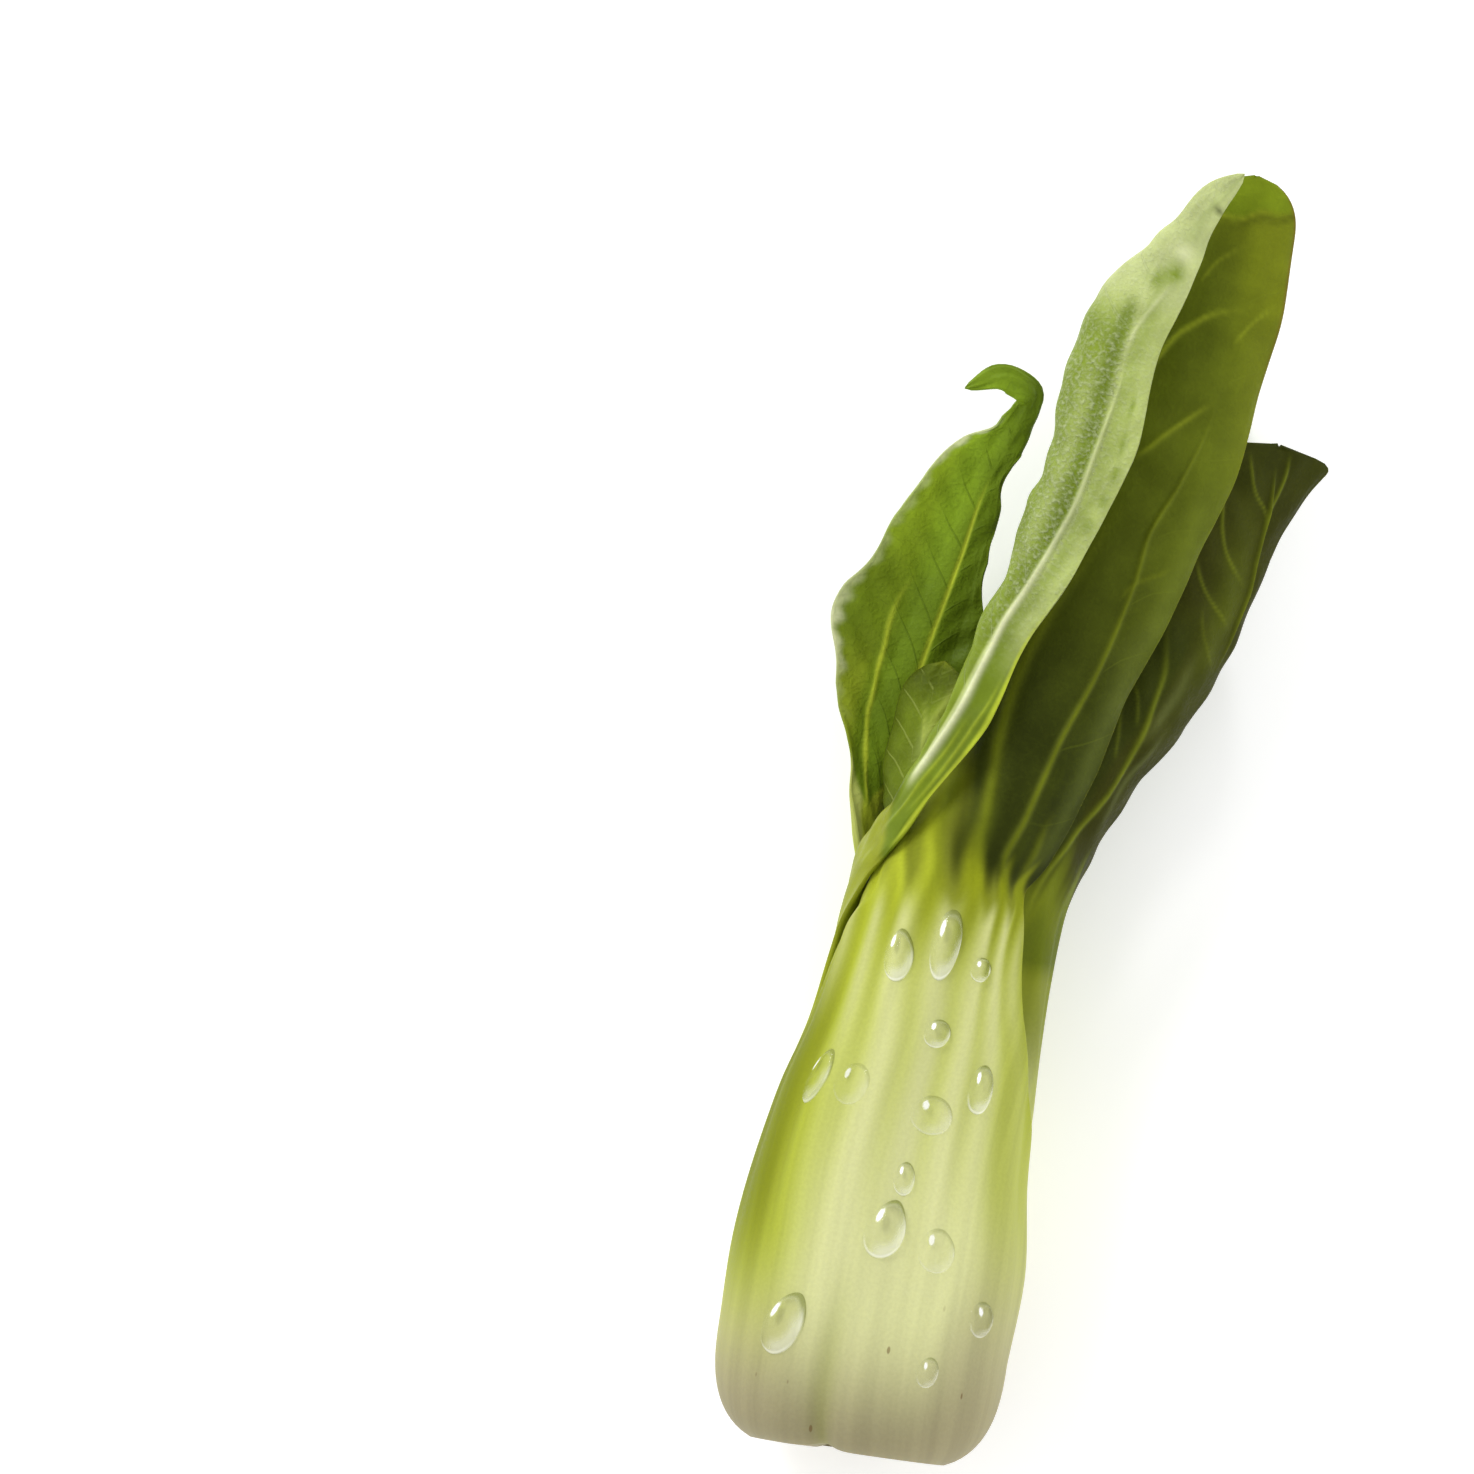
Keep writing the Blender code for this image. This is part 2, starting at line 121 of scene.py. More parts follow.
# From the outermost layer to the innermost.
LEAVES = [
    Leaf("crossing_leaf", [
        (1, -176, -144, -114, 4.6),
        (45, -168, -132, -104, 4.2),
        (70, -148, -112, -95, 3.4),
        (78, -132, -100, -86, 3.0),
        (84, -111, -84, -68, 2.8),
        (90, -94, -70, -58, 2.4),
        (98, -72, -56, -44, 2.1),
    ], 90, [
        (-9.4, 101, 35.2, -42, 2.6, 4.2, 80, 22),
        (-4.4, 113, 39.0, -28, 3.2, 6.0, 100, 18),
        (0.9, 127, 42.2, -13, 6.6, 5.2, 105, 10),
        (7.0, 138, 44.0, -6, 12, 4.2, 100, 5),
        (11.4, 155, 44.6, -4, 12.6, 5.6, 95, 5),
        (14.0, 173, 43.0, 0, 13, 5.2, 95, 5),
        (18.4, 187, 40.0, 4, 4.6, 5.2, 75, 5),
        (23.2, 195, 36.8, 6, 2.6, 2.4, 50, 5),
        (27.4, 199.4, 34.6, 8, 1.4, 1.4, 40, 5),
    ], tip=0.04),
    Leaf("front_leaf", [
        (1, -124, -8, 98, 5.4),
        (48, -116, -6, 92, 5.2),
        (56, -113, -5, 78, 5.0),
        (63, -110, -4, 66, 4.6),
        (72, -104, -2, 53, 4.0),
        (80, -90, 2, 45, 3.6),
        (90, -62, 8, 35, 3.2),
    ], 90, [
        (10.0, 103, 36.4, 12, 13, 8.4, 50, 36),
        (12.7, 113, 36.2, 12, 14, 8.4, 46, 36),
        (16.9, 127, 35.8, 12, 15, 8.6, 42, 38),
        (22.7, 145, 34.6, 10, 17, 8.8, 36, 40),
        (27.0, 165, 32.8, 8, 15, 8.8, 32, 40),
        (28.8, 182, 31.8, 6, 12, 8.0, 28, 30),
        (29.2, 199.4, 30.5, 4, 9, 8, 20, 20),
    ], tip=0.07, columns=145, rows=215),
    Leaf("right_leaf", [
        (1, 62, 112, 160, 4.6),
        (56, 56, 100, 140, 4.0),
        (72, 40, 94, 128, 3.4),
        (90, 24, 88, 116, 2.6),
    ], 88, [
        (23.3, 103, 19.0, 78, 12, 6, 60, 50),
        (31.6, 118, 18.5, 72, 14.5, 7, 60, 56),
        (36.4, 132, 18.5, 60, 14, 5, 40, 46),
        (38.4, 147, 19.5, 50, 15, 5.8, 30, 20),
        (39.0, 159.8, 19.5, 36, 15, 12.4, 22, 10),
    ], tip=0.03, columns=121, rows=200),
    Leaf("under_leaf", [
        (2.5, 134, 180, 226, 4.6),
        (84, 148, 182, 214, 2.8),
    ], 86, [
        (4.0, 97, 4.4, 182, 9, 9, 36, 36),
        (9.5, 113, 1.8, 182, 11, 11, 34, 34),
        (16.5, 132, 0.8, 182, 13, 13, 30, 30),
        (22.5, 150, 1.2, 182, 13, 12, 30, 30),
        (27.5, 168, 3.5, 182, 9, 9, 26, 26),
    ], tip=0.2),
    Leaf("left_leaf", [
        (2.5, -176, -136, -92, 4.0),
        (50, -166, -128, -86, 3.4),
        (70, -152, -118, -88, 3.0),
        (84, -136, -118, -106, 2.8),
    ], 88, [
        (-14.6, 97, 14.5, -128, 5, 5.5, 30, 20),
        (-12.0, 110, 14.5, -160, 7, 10.8, 26, 18),
        (-9.2, 123, 15.0, -172, 8, 16.2, 14, 20),
        (-6.4, 136, 16.5, -175, 4.6, 12.6, 10, 18),
        (-4.0, 148, 18.5, -175, 3.4, 9.0, 10, 16),
        (-0.8, 157, 21.5, -172, 2.4, 3.6, 14, 16),
        (0.2, 162.6, 25.0, -165, 2.4, 2.6, 16, 16),
        (-3.2, 164.0, 27.0, -160, 2.2, 2.2, 14, 14),
        (-9.4, 161.6, 26.5, -160, 1.2, 1.2, 10, 10),
    ], tip=0.05),
    Leaf("inner_left_leaf", [
        (6, -102, -58, -16, 3.4),
        (76, -92, -62, -34, 2.2),
    ], 78, [
        (-9.8, 89, 25.4, -58, 5.5, 4.5, 46, 46),
        (-9.8, 101, 26.0, -40, 6.6, 4.5, 40, 30),
        (-8.4, 111, 25.0, -30, 6.6, 5, 34, 24),
        (-6.4, 120.5, 24.0, -25, 4.5, 5.5, 20, 20),
    ], tip=0.1, rows=60, columns=41),
    Leaf("inner_right_leaf", [
        (6, 12, 54, 98, 3.4),
        (76, 24, 56, 86, 2.2),
    ], 78, [
        (9.4, 89, 28.0, 48, 6, 6, 50, 50),
        (13.5, 104, 27.5, 36, 7, 6, 46, 46),
        (18.5, 118, 26.5, 30, 7, 6, 40, 40),
        (22.5, 131, 25.0, 26, 5, 5, 30, 30),
    ], tip=0.3, rows=60, columns=41),
    Leaf("under_right_leaf", [
        (6, 100, 140, 180, 3.4),
        (76, 118, 144, 168, 2.2),
    ], 80, [
        (10.0, 91, 11.4, 140, 5, 5, 50, 50),
        (15.0, 105, 8.6, 152, 6, 6, 44, 44),
        (22.5, 120, 7.2, 162, 7, 7, 36, 36),
        (27.5, 134, 7.0, 168, 5, 5, 30, 30),
    ], tip=0.3, rows=60, columns=41),
    Leaf("inner_under_leaf", [
        (9, -202, -163, -127, 3.0),
        (66, -190, -160, -132, 2.0),
    ], 69, [
        (-2.5, 79, 13.0, -165, 5, 5, 56, 56),
        (0.5, 92, 12.0, -170, 6, 6, 46, 46),
        (4.5, 106, 11.0, -178, 6, 6, 36, 36),
        (8.0, 118, 10.5, -180, 4, 4, 26, 26),
    ], tip=0.3, rows=60, columns=41),
    Leaf("heart_leaf_1", [
        (12, -50, 0, 50, 2.6),
        (52, -40, 0, 40, 1.6),
    ], 58, [
        (0.5, 68, 28.0, 5, 5, 5, 66, 66),
        (2.0, 81, 28.5, 10, 5.5, 5.5, 56, 56),
        (4.0, 94, 27.5, 12, 4, 4, 40, 40),
    ], tip=0.3, rows=40, columns=33),
    Leaf("heart_leaf_2", [
        (12, 80, 124, 168, 2.4),
        (46, 90, 130, 168, 1.5),
    ], 51, [
        (3.4, 60, 17.5, 126, 4.5, 4.5, 66, 66),
        (5.0, 71, 17.5, 118, 5, 5, 56, 56),
        (6.8, 82, 18.0, 108, 3.5, 3.5, 40, 40),
    ], tip=0.3, rows=40, columns=33),
    Leaf("heart_leaf_3", [
        (12, -192, -150, -108, 2.2),
        (42, -190, -153, -116, 1.4),
    ], 46, [
        (-3.6, 54, 17.0, -150, 4, 4, 66, 66),
        (-3.2, 63, 17.4, -145, 4.5, 4.5, 56, 56),
        (-2.4, 72, 18.0, -140, 3, 3, 40, 40),
    ], tip=0.3, rows=40, columns=33),
]
OUTER_NAMES = [leaf.name for leaf in LEAVES[:5]]
FLUTES_CHANGE = (58, 80)  # heights between which the ridges go over from the low angles to the neck's
FLUTES_RISE = (12, 50)  # heights between which the flutes grow to their full depth
FLUTES_DRIFT = (-7, -3)  # distances along, between which the ridges start to follow the blade
EDGE_START = 0.75  # share of the way to the margin from which a blade thins
VEIN_BOW = 0.012  # share of its climb that a side vein loses with each millimetre
VEIN_STAGGER, VEIN_SWING = 0.225, 0.22  # in steps between side veins
RIGHT_WAVE = 1.7  # by how much the waves of the right margin run ahead, in radians


@dataclass
class Look:
    """How a leaf's surface goes. Distances are in millimetres: along from the neck, across from the
    midrib."""

    flute_angles: tuple = ()  # angles of the stalk's ridges, low on the stalk and at the neck
    flute_period: float = 20.0  # degrees from one ridge to the next, where no angles are given
    flute_depth: float = 0.25
    # Where the ridges run on into the blade: the angle of one valley, and its path as points of (along,
    # across, millimetres to a degree beside it).
    drift_angle: float = 0.0
    drift: tuple = ()
    midrib: tuple = (3.0, 0.5)  # half-width of the midrib at the neck and at the tip
    midrib_height: float = 0.5
    rib_height: float = 0.3
    midrib_path: tuple = ((0, 0), (500, 0))  # points of (along, across)
    midrib_ends: tuple = (-6, 4, 500, 501)  # from where to where the midrib swells in, and fades out
    # Ribs beside the midrib: a half-width, a strength, then points of (along, across).
    lines: tuple = ()
    laterals: tuple = (9.0, 1.1, 0.5)  # side veins: their spacing, and their climb near the neck and the tip
    vein_sides: tuple = (1.0, 1.0)  # strength of the side veins left and right of the midrib
    vein_reach: tuple = (0.8, 1.0)  # shares of the way to the margin between which they fade out
    quilting: float = 0.25
    waves: tuple = (0.6, 17.0, 0.0)  # height of the margin's waves, their length and where they start
    notches: tuple = (0.25, 9.0)  # depth of the margin's scallops and their spacing


LOOKS = {
    "crossing_leaf": Look(
        midrib=(1.0, 0.12), midrib_height=0.7, laterals=(8.5, 1.5, 0.7), vein_sides=(0.5, 0.0),
        quilting=0.4, waves=(0.5, 21.0, 0.3), midrib_ends=(17, 23, 76, 93),
        midrib_path=(
            (0, 0), (21.6, 0.5), (29.5, 1), (41.8, 0.8), (51, 0), (61, -0.8), (68, -0.3), (80, 0),
            (89, 0.6), (94, 0), (98, -0.3), (130, 0),
        ),
        lines=(
            (0.35, 0.7, (91, 0), (96, 0.3), (99, 1), (103, 2.2), (106, 3)),
            (0.35, 0.25, (95, 0), (100, -0.4), (106, -0.8), (114, -0.6)),
            (0.3, 0.5, (14, 2.4), (20.8, 3.4), (27.9, 4), (36, 4.5), (42, 4.6)),
            (0.3, 0.4, (10, 0.9), (18, 1.7), (26, 2.5), (34, 3)),
        ),
    ),
    "front_leaf": Look(
        flute_angles=((-94, -69, -44, -18, 4, 21, 39, 62, 86), (-86, -64, -44, -27, -3, 21, 31, 42, 56)),
        flute_depth=0.45, drift_angle=9.0, midrib=(0.7, 0.25), midrib_height=0.45,
        midrib_ends=(-6, 4, 58, 84), laterals=(12.0, 1.1, 0.55), vein_sides=(0.0, 0.3), quilting=0.22,
        waves=(0.5, 24.0, 0.0), notches=(0.45, 11.0),
        drift=(
            (-13, 2.5, 0.28), (-8, 1.7, 0.28), (-4, 0.9, 0.28), (-1, -0.4, 0.29), (3, -2.6, 0.33),
            (7.7, -4.9, 0.41), (17.4, -7.9, 0.53), (25.6, -9.3, 0.63), (39, -9.6, 0.8), (60, -8.5, 0.9),
            (130, -8.5, 0.9),
        ),
        midrib_path=(
            (-6, 6.2), (0.6, 4.5), (1.8, 3.3), (11.5, 0.5), (21.4, 0.2), (33.4, 1), (50, 0), (57, -1.2),
            (65.6, 0), (73.8, 1), (90, 1),
        ),
        lines=(
            (1.2, 0.8, (-6, -5.4), (-1.6, -6.2), (5.3, -9.8), (11, -11.8)),
            (1.0, 1.0, (-6, 1.5), (-4, 0.9), (-1, -0.4), (3, -2.6), (7.7, -4.9), (17.4, -7.9),
             (25.6, -9.3), (39, -9.6), (49, -8.5), (62, -7)),
            (1.0, 0.6, (-6, -9.6), (-1, -10.4), (3, -12), (7, -13.6), (10, -15)),
            (0.7, 0.7, (-6, 9.1), (0, 7.4), (4.7, 5.5), (8, 4.8), (12.8, 4.1), (15, 4.3)),
            (0.35, 0.6, (46, -0.8), (49, -0.2), (53, 3.4), (55, 5)),
            (0.4, 0.9, (66, -9), (68, -7.3), (72.9, -4.2), (77.9, -0.4), (80, 1.4)),
            (0.45, 1.2, (81, -10), (83.7, -9.2), (89.6, -5.7), (93, -1), (94.8, 4.6)),
            (0.3, 0.6, (88, 1), (93, 4), (96, 7)),
            (0.3, 0.6, (96, -6), (101, -3), (104, 1)),
        ),
    ),
    "right_leaf": Look(
        flute_period=24.0, midrib=(0.5, 0.3), rib_height=0.2, midrib_ends=(40, 50, 66, 74),
        laterals=(10.0, 1.2, 1.3), vein_sides=(0.0, 0.0), quilting=0.3, waves=(0.15, 22.0, 0.2),
        lines=(
            (0.5, 1.2, (-14, -13), (-0.6, -12), (6.9, -8.8), (13.4, -6.4), (19.2, -5.6), (25.2, -7.2),
             (29.7, -8.8), (36, -10.3), (42.6, -13), (48, -14)),
            (0.3, 0.8, (46.8, -1.2), (51, -7.9), (54.8, -11), (57.9, -12.2)),
            (0.3, 0.9, (53.6, -0.6), (56.7, -4.9), (61.7, -8.4), (66.2, -9.4), (70, -10)),
            (0.28, 0.8, (64, 0), (66.2, -1), (68, -3.1), (72.7, -5), (75, -5.6)),
            (0.32, 1.0, (62, 0), (65, 0), (72, 2.1), (76, 2)),
            (0.3, 0.5, (20, -8), (24, -11), (28, -14)),
            (0.3, 0.5, (26, -9), (30, -12), (33, -14.5)),
            (0.3, 0.4, (40, -1), (44, -6), (50, -9.5)),
        ),
    ),
    "left_leaf": Look(
        midrib=(0.7, 0.18), midrib_height=-0.3, midrib_ends=(16, 24, 52, 64), laterals=(6.5, 1.5, 1.0),
        vein_sides=(1.0, 1.0), vein_reach=(0.15, 0.6), quilting=0.35, waves=(0.6, 15.0, 0.5),
        notches=(0.8, 3.4),
        lines=(
            (0.36, 1.0, (4, 2.8), (10.4, 3.4), (17.3, 4.8), (25.2, 5.8), (32.1, 6.4), (40.6, 6.8),
             (46, 5.6)),
        ),
    ),
    "inner_left_leaf": Look(
        midrib=(0.9, 0.3), midrib_height=0.3, laterals=(4.7, 0.65, 0.65), vein_sides=(1.0, 0.4),
        quilting=0.5, waves=(0.3, 13.0, 0.4), midrib_ends=(10, 20, 33, 38),
        midrib_path=(
            (0, 1), (20, 1.4), (23, 1.7), (27.1, 2.1), (31, 1.2), (33.9, 0.3), (38, -1.6), (45, -2),
        ),
        lines=(
            (0.8, 0.8, (30, 1.3), (31.5, 1.4), (35.2, 2.2), (39, 2.9), (42, 3.2)),
        ),
    ),
    "under_leaf": Look(midrib=(2.2, 0.4), quilting=0.15, waves=(0.3, 20.0, 0.1)),
}
INNER_LOOK = Look(
    midrib=(1.6, 0.3), midrib_height=0.3, laterals=(6.0, 1.4, 0.9), quilting=0.2, waves=(0.4, 13.0, 0.4)
)


# ---------------------------------------------------------------- shape


def ramp(x, low, high):
    """Rises smoothly from 0 at low to 1 at high."""
    u = np.clip((np.asarray(x, float) - low) / (high - low), 0, 1)
    return u * u * (3 - 2 * u)


def fall(x, low, high):
    """Falls smoothly from 1 at low to 0 at high."""
    return 1 - ramp(x, low, high)


def bell(x, middle, width):
    """1 at the middle, fading to 0 on both sides of it."""
    return np.exp(-(((x - middle) / width) ** 2))


def curve_through(knots, x):
    """A smooth curve through the knots, whose first column is x: each span is a cubic whose slope at a knot
    is that of the parabola through the knot and its neighbours."""
    knots = np.array(knots, float)
    at, value = knots[:, 0], knots[:, 1:]
    slope = np.gradient(value, at, axis=0)
    x = np.clip(x, at[0], at[-1])
    i = np.clip(np.searchsorted(at, x, side="right") - 1, 0, len(at) - 2)
    span = (at[i + 1] - at[i])[..., None]
    u = (x - at[i])[..., None] / span
    return (
        value[i] * (1 + 2 * u) * (1 - u) ** 2
        + slope[i] * span * u * (1 - u) ** 2
        + value[i + 1] * u * u * (3 - 2 * u)
        + slope[i + 1] * span * u * u * (u - 1)
    )


def facing(angle):
    """The outward direction at an angle around the head."""
    a = np.radians(angle)
    return np.stack([np.sin(a), np.zeros_like(a), np.cos(a)], -1)


def crease(y, angle):
    """1 along the middle of the fold, fading to 0 on both sides of it."""
    return bell(angle, CREASE_ANGLE + CREASE_LEAN * y, CREASE_WIDTH)


def envelope(y, angle):
    """The head's centre at a height, and its outer radius there at an angle: an ellipse whose size follows a
    superellipse below the shoulder, cut softly by the level of the bed under it, less the crease."""
    head = curve_through(HEAD, y)
    sink = np.clip((SHOULDER - y) / SHOULDER, 0, 1)
    grown = (1 - sink**ROOT_SQUARENESS) ** (1 / ROOT_SQUARENESS)
    share = ROOT_SHARE + (1 - ROOT_SHARE) * grown
    a = np.radians(angle)
    deep = head[..., 3] * np.where(np.cos(a) < 0, BELLY, 1)
    radius = share / np.hypot(np.sin(a) / head[..., 2], np.cos(a) / deep)
    above_bed = (head[..., 1] - BED) / np.maximum(-np.cos(a), 0.1)
    radius = radius / (1 + (radius / above_bed) ** BED_SHARPNESS) ** (1 / BED_SHARPNESS)
    fold = crease(y, angle)
    lift = CREASE_LIFT * fold * fall(y, 0, LIFT_TOP)
    centre = np.stack([head[..., 0], y + lift, head[..., 1]], -1)
    return centre, radius - CREASE_DEPTH * fold * fall(y, 0, CREASE_TOP)


def stem_radius(y):
    """The stem's radius at a height: a short cylinder with a dome on top."""
    rise = np.clip((y - STEM_SHOULDER) / (STEM_TOP - STEM_SHOULDER), 0, 1)
    return STEM_RADIUS * np.sqrt(1 - rise**2)


def stalk_at(leaf, y):
    """The stalk's midrib angle, its spans left and right of it, and its thickness, at a height."""
    left, middle, right, thick = np.moveaxis(curve_through(leaf.stalk, y), -1, 0)
    return middle, middle - left, right - middle, thick


def layer(leaf, y, angle):
    """How thick a leaf lies at an angle, and the drop that it makes for the leaves inside it. The drop runs
    out smoothly past the margins."""
    middle, left, right, thick = stalk_at(leaf, y)
    off = (angle - middle + 180) % 360 - 180
    u = np.where(off < 0, -off / left, off / right)
    profile = STALK_EDGE + (thick - STALK_EDGE) * np.clip(1 - u * u, 0, 1) ** STALK_ROUNDNESS
    past = (u - 1) * np.where(off < 0, left, right)
    foot = leaf.stalk[0][0]
    present = fall(past, MARGIN_START, MARGIN_END) * ramp(y, foot - FOOT_START, foot)
    return profile, (profile + GAP) * present


def packed(index, y, angle, inner):
    """A point on the outer or inner face of a stalk packed into the head: the envelope, less the layers
    outside it. Low down the layers share all the space out to the envelope, and higher up each has its own
    thickness."""
    centre, radius = envelope(y, angle)
    room = radius - stem_radius(y) - GAP
    layers = [layer(leaf, y, angle) for leaf in LEAVES]
    filled = room / sum(drop for _, drop in layers)
    share = filled + (np.minimum(filled, 1) - filled) * ramp(y, SHARED_BELOW, PACKED_ABOVE)
    outside = sum((drop for _, drop in layers[:index]), np.zeros_like(radius))
    radius = radius - share * outside
    if inner:
        radius = radius - share * layers[index][0]
    return centre + facing(angle) * radius[..., None]


def spine(index):
    """Rows along a leaf, as in its blade table, from the last packed rows to the tip."""
    leaf = LEAVES[index]
    rows = []
    for y in (leaf.neck - PACKED, leaf.neck - PACKED / 2):
        middle, left, right, _ = stalk_at(leaf, y)
        point = packed(index, np.float64(y), middle, False)
        centre, _ = envelope(y, middle)
        per_degree = np.radians(np.linalg.norm((point - centre)[[0, 2]]))
        rows.append((*point, middle, left * per_degree, right * per_degree, left, right))
    return np.array(rows + [tuple(row) for row in leaf.blade], float)


def spread(index, along):
    """The blade's outer face, on columns from margin to margin, at distances along the spine, with each
    point's distance across from the midrib, and each row's distance along. Each row is a line bent by an
    angle that grows from the midrib to the margin."""
    leaf = LEAVES[index]
    rows = spine(index)
    steps = np.linalg.norm(np.diff(rows[:, :3], axis=0), axis=1)
    reach = np.concatenate([[0], np.cumsum(steps)])
    knots = np.column_stack([reach, rows])
    at = along * reach[-1]
    row = curve_through(knots, at)
    step = curve_through(knots, at + 0.5) - curve_through(knots, at - 0.5)
    tangent = step[:, :3] / np.linalg.norm(step[:, :3], axis=1)[:, None]
    out = facing(row[:, 3])
    side = np.cross(tangent, out)
    side /= np.linalg.norm(side, axis=1)[:, None]
    out = np.cross(side, tangent)
    tip = np.clip((along - (1 - leaf.tip)) / leaf.tip, 0, 1)
    narrow = np.sqrt(np.clip(1 - tip**2, 0, 1))[:, None]
    t = np.linspace(-1, 1, leaf.columns)[None, :]
    width = np.where(t < 0, row[:, 4:5], row[:, 5:6]) * np.maximum(narrow, TIP_WIDTH)
    bend = np.radians(np.where(t < 0, row[:, 6:7], row[:, 7:8])) * narrow
    angle = np.maximum(bend * np.abs(t), 1e-6)
    across = t * width * np.sin(angle) / angle
    deep = np.abs(t) * width * (1 - np.cos(angle)) / angle
    points = row[:, None, :3] + across[..., None] * side[:, None, :] - deep[..., None] * out[:, None, :]
    return points, t * width, at


def uneven(x, y, seed):
    """A smooth, uneven field between about -1 and 1: four sine waves crossing at unlike angles."""
    turns = seed * 2.4 + np.arange(4) * 1.3
    field = 0
    for i, turn in enumerate(turns):
        pitch = 1 + 0.37 * i
        field = field + np.sin(pitch * (x * np.cos(turn) + y * np.sin(turn)) + 3.1 * turn) / (1 + 0.5 * i)
    return field / 2.2


def normals_of(points):
    """The unit normal of a grid of points whose rows run up and whose columns run to the right."""
    normal = np.cross(np.gradient(points, axis=1), np.gradient(points, axis=0))
    return normal / np.maximum(np.linalg.norm(normal, axis=2), 1e-9)[..., None]


def flute_phase(look, y, angle, middle):
    """Counts a stalk's ridges: whole numbers lie on them. Where a leaf gives their angles, they go over from
    the low ones to those at the neck."""
    if not look.flute_angles:
        return (angle - middle) / look.flute_period
    low, high = (np.interp(angle, angles, range(len(angles))) for angles in look.flute_angles)
    return low + (high - low) * ramp(y, *FLUTES_CHANGE)


def flute_relief(look, y, phase):
    """How deep the valleys between a stalk's ridges lie. They run out towards the root."""
    valley = 0.5 - 0.5 * np.cos(2 * np.pi * phase)
    return -look.flute_depth * valley**1.5 * ramp(y, *FLUTES_RISE)


class Sheet:
    """A leaf as two grids of points, outer and inner, with rows from foot to tip and columns from margin to
    margin, and the fields that its relief and its colours are made from: t from -1 at the left margin to 1
    at the right one, y the height of a stalk's row, along the distance from the neck and across that from
    the midrib, both along the surface, share the part of the blade's length, blade the stalk's change into
    it, angle around the head, flow the angle that a ridge has further down, ridges the flutes' phase, ridge
    their height from 0 to 1, midrib and ribs the raised lines, phase the side veins' and quilt the swells
    between them."""

    def __init__(self, index, sizes):
        leaf = LEAVES[index]
        look = LOOKS.get(leaf.name, INNER_LOOK)
        self.leaf, self.look, self.seed = leaf, look, index + 1
        foot, low = leaf.stalk[0][0], leaf.neck - PACKED
        heights = np.linspace(foot, low, max(leaf.rows // 2, 8), endpoint=False)
        count = len(heights)
        share = np.linspace(0, 1, leaf.rows) ** ROW_SPACING
        blade, across, at = spread(index, share)
        shape = (count + leaf.rows, leaf.columns)
        t = np.linspace(-1, 1, leaf.columns)[None, :]
        y = np.concatenate([heights, np.minimum(blade[:, leaf.columns // 2, 1], leaf.neck + PACKED)])[:, None]
        y = np.broadcast_to(y, shape)
        middle, left, right, _ = stalk_at(leaf, y)
        span = np.where(t < 0, left, right)
        angle = middle + t * span
        outer, inner = packed(index, y, angle, False), packed(index, y, angle, True)
        radius = np.linalg.norm(outer - envelope(y, angle)[0], axis=2)
        self.t = np.broadcast_to(t, shape)
        self.y, self.angle = y, angle
        self.across = t * span * np.radians(radius)
        self.across[count:] = across
        self.along = np.broadcast_to(np.concatenate([heights - leaf.neck, at - PACKED])[:, None], shape)
        self.share = np.broadcast_to(np.concatenate([heights * 0, share])[:, None], shape)
        self.blade = np.zeros(shape)
        self.blade[count:] = ramp(y[count:], leaf.neck - PACKED / 2, leaf.neck + PACKED / 2)
        self.raise_ribs(middle)
        self.run_veins()

        blade = self.wavy(blade, count, sizes.ripple)
        normal = normals_of(blade)
        rib = ((1 - share) ** RIB_FADE)[:, None]
        rib_width = RIB_TIP_WIDTH + (RIB_WIDTH - RIB_TIP_WIDTH) * rib
        profile = np.clip(1 - (self.across[count:] / rib_width) ** 2, 0, 1) ** STALK_ROUNDNESS
        thin = BLADE + (sizes.edge / MM - BLADE) * ramp(np.abs(self.t[count:]), EDGE_START, 1)
        depth = thin + (leaf.stalk[-1][-1] - BLADE) * rib * profile
        mix = self.blade[count:, :, None]
        outer[count:] = outer[count:] * (1 - mix) + blade * mix
        inner[count:] = inner[count:] * (1 - mix) + (blade - normal * depth[..., None]) * mix

        valleys = sizes.fluting * flute_relief(look, y, self.ridges) * (1 - self.blade)
        raised = look.midrib_height * self.midrib + look.rib_height * self.ribs
        raised = sizes.relief * raised * self.blade
        quilt = sizes.relief * look.quilting * self.quilt * self.blade
        out = normals_of(outer)
        self.outer = outer + out * (valleys + raised + quilt)[..., None]
        self.inner = inner + out * (quilt - 0.5 * raised)[..., None]

    def raise_ribs(self, middle):
        """The stalk's ridges, and the midrib and the other ribs along their lines."""
        look = self.look
        self.flow = self.angle
        if look.drift:
            path, spacing = np.moveaxis(curve_through(look.drift, self.along), -1, 0)
            onward = look.drift_angle + (self.across - path) / spacing
            into = ramp(self.along, *FLUTES_DRIFT)
            self.flow = self.angle * (1 - into) + onward * into
        self.ridges = flute_phase(look, self.y, self.flow, middle)
        self.ridge = 0.5 + 0.5 * np.cos(2 * np.pi * self.ridges)
        wide, narrow = look.midrib
        half = narrow + (wide - narrow) * (1 - self.share) ** 1.5
        begins, full, fades, ends = look.midrib_ends
        self.midrib = bell(self.off_line(look.midrib_path), 0, half)
        self.midrib = self.midrib * ramp(self.along, begins, full) * fall(self.along, fades, ends)
        self.ribs = sum((self.line(*line) for line in look.lines), np.zeros_like(self.t))

    def spot(self, along, across, length, width):
        """1 at a place of the blade, fading out as a soft oval."""
        return bell(self.along, along, length) * bell(self.across, across, width)

    def off_line(self, points):
        """How far each point lies across from a line through points."""
        return self.across - curve_through(points, self.along)[..., 0]

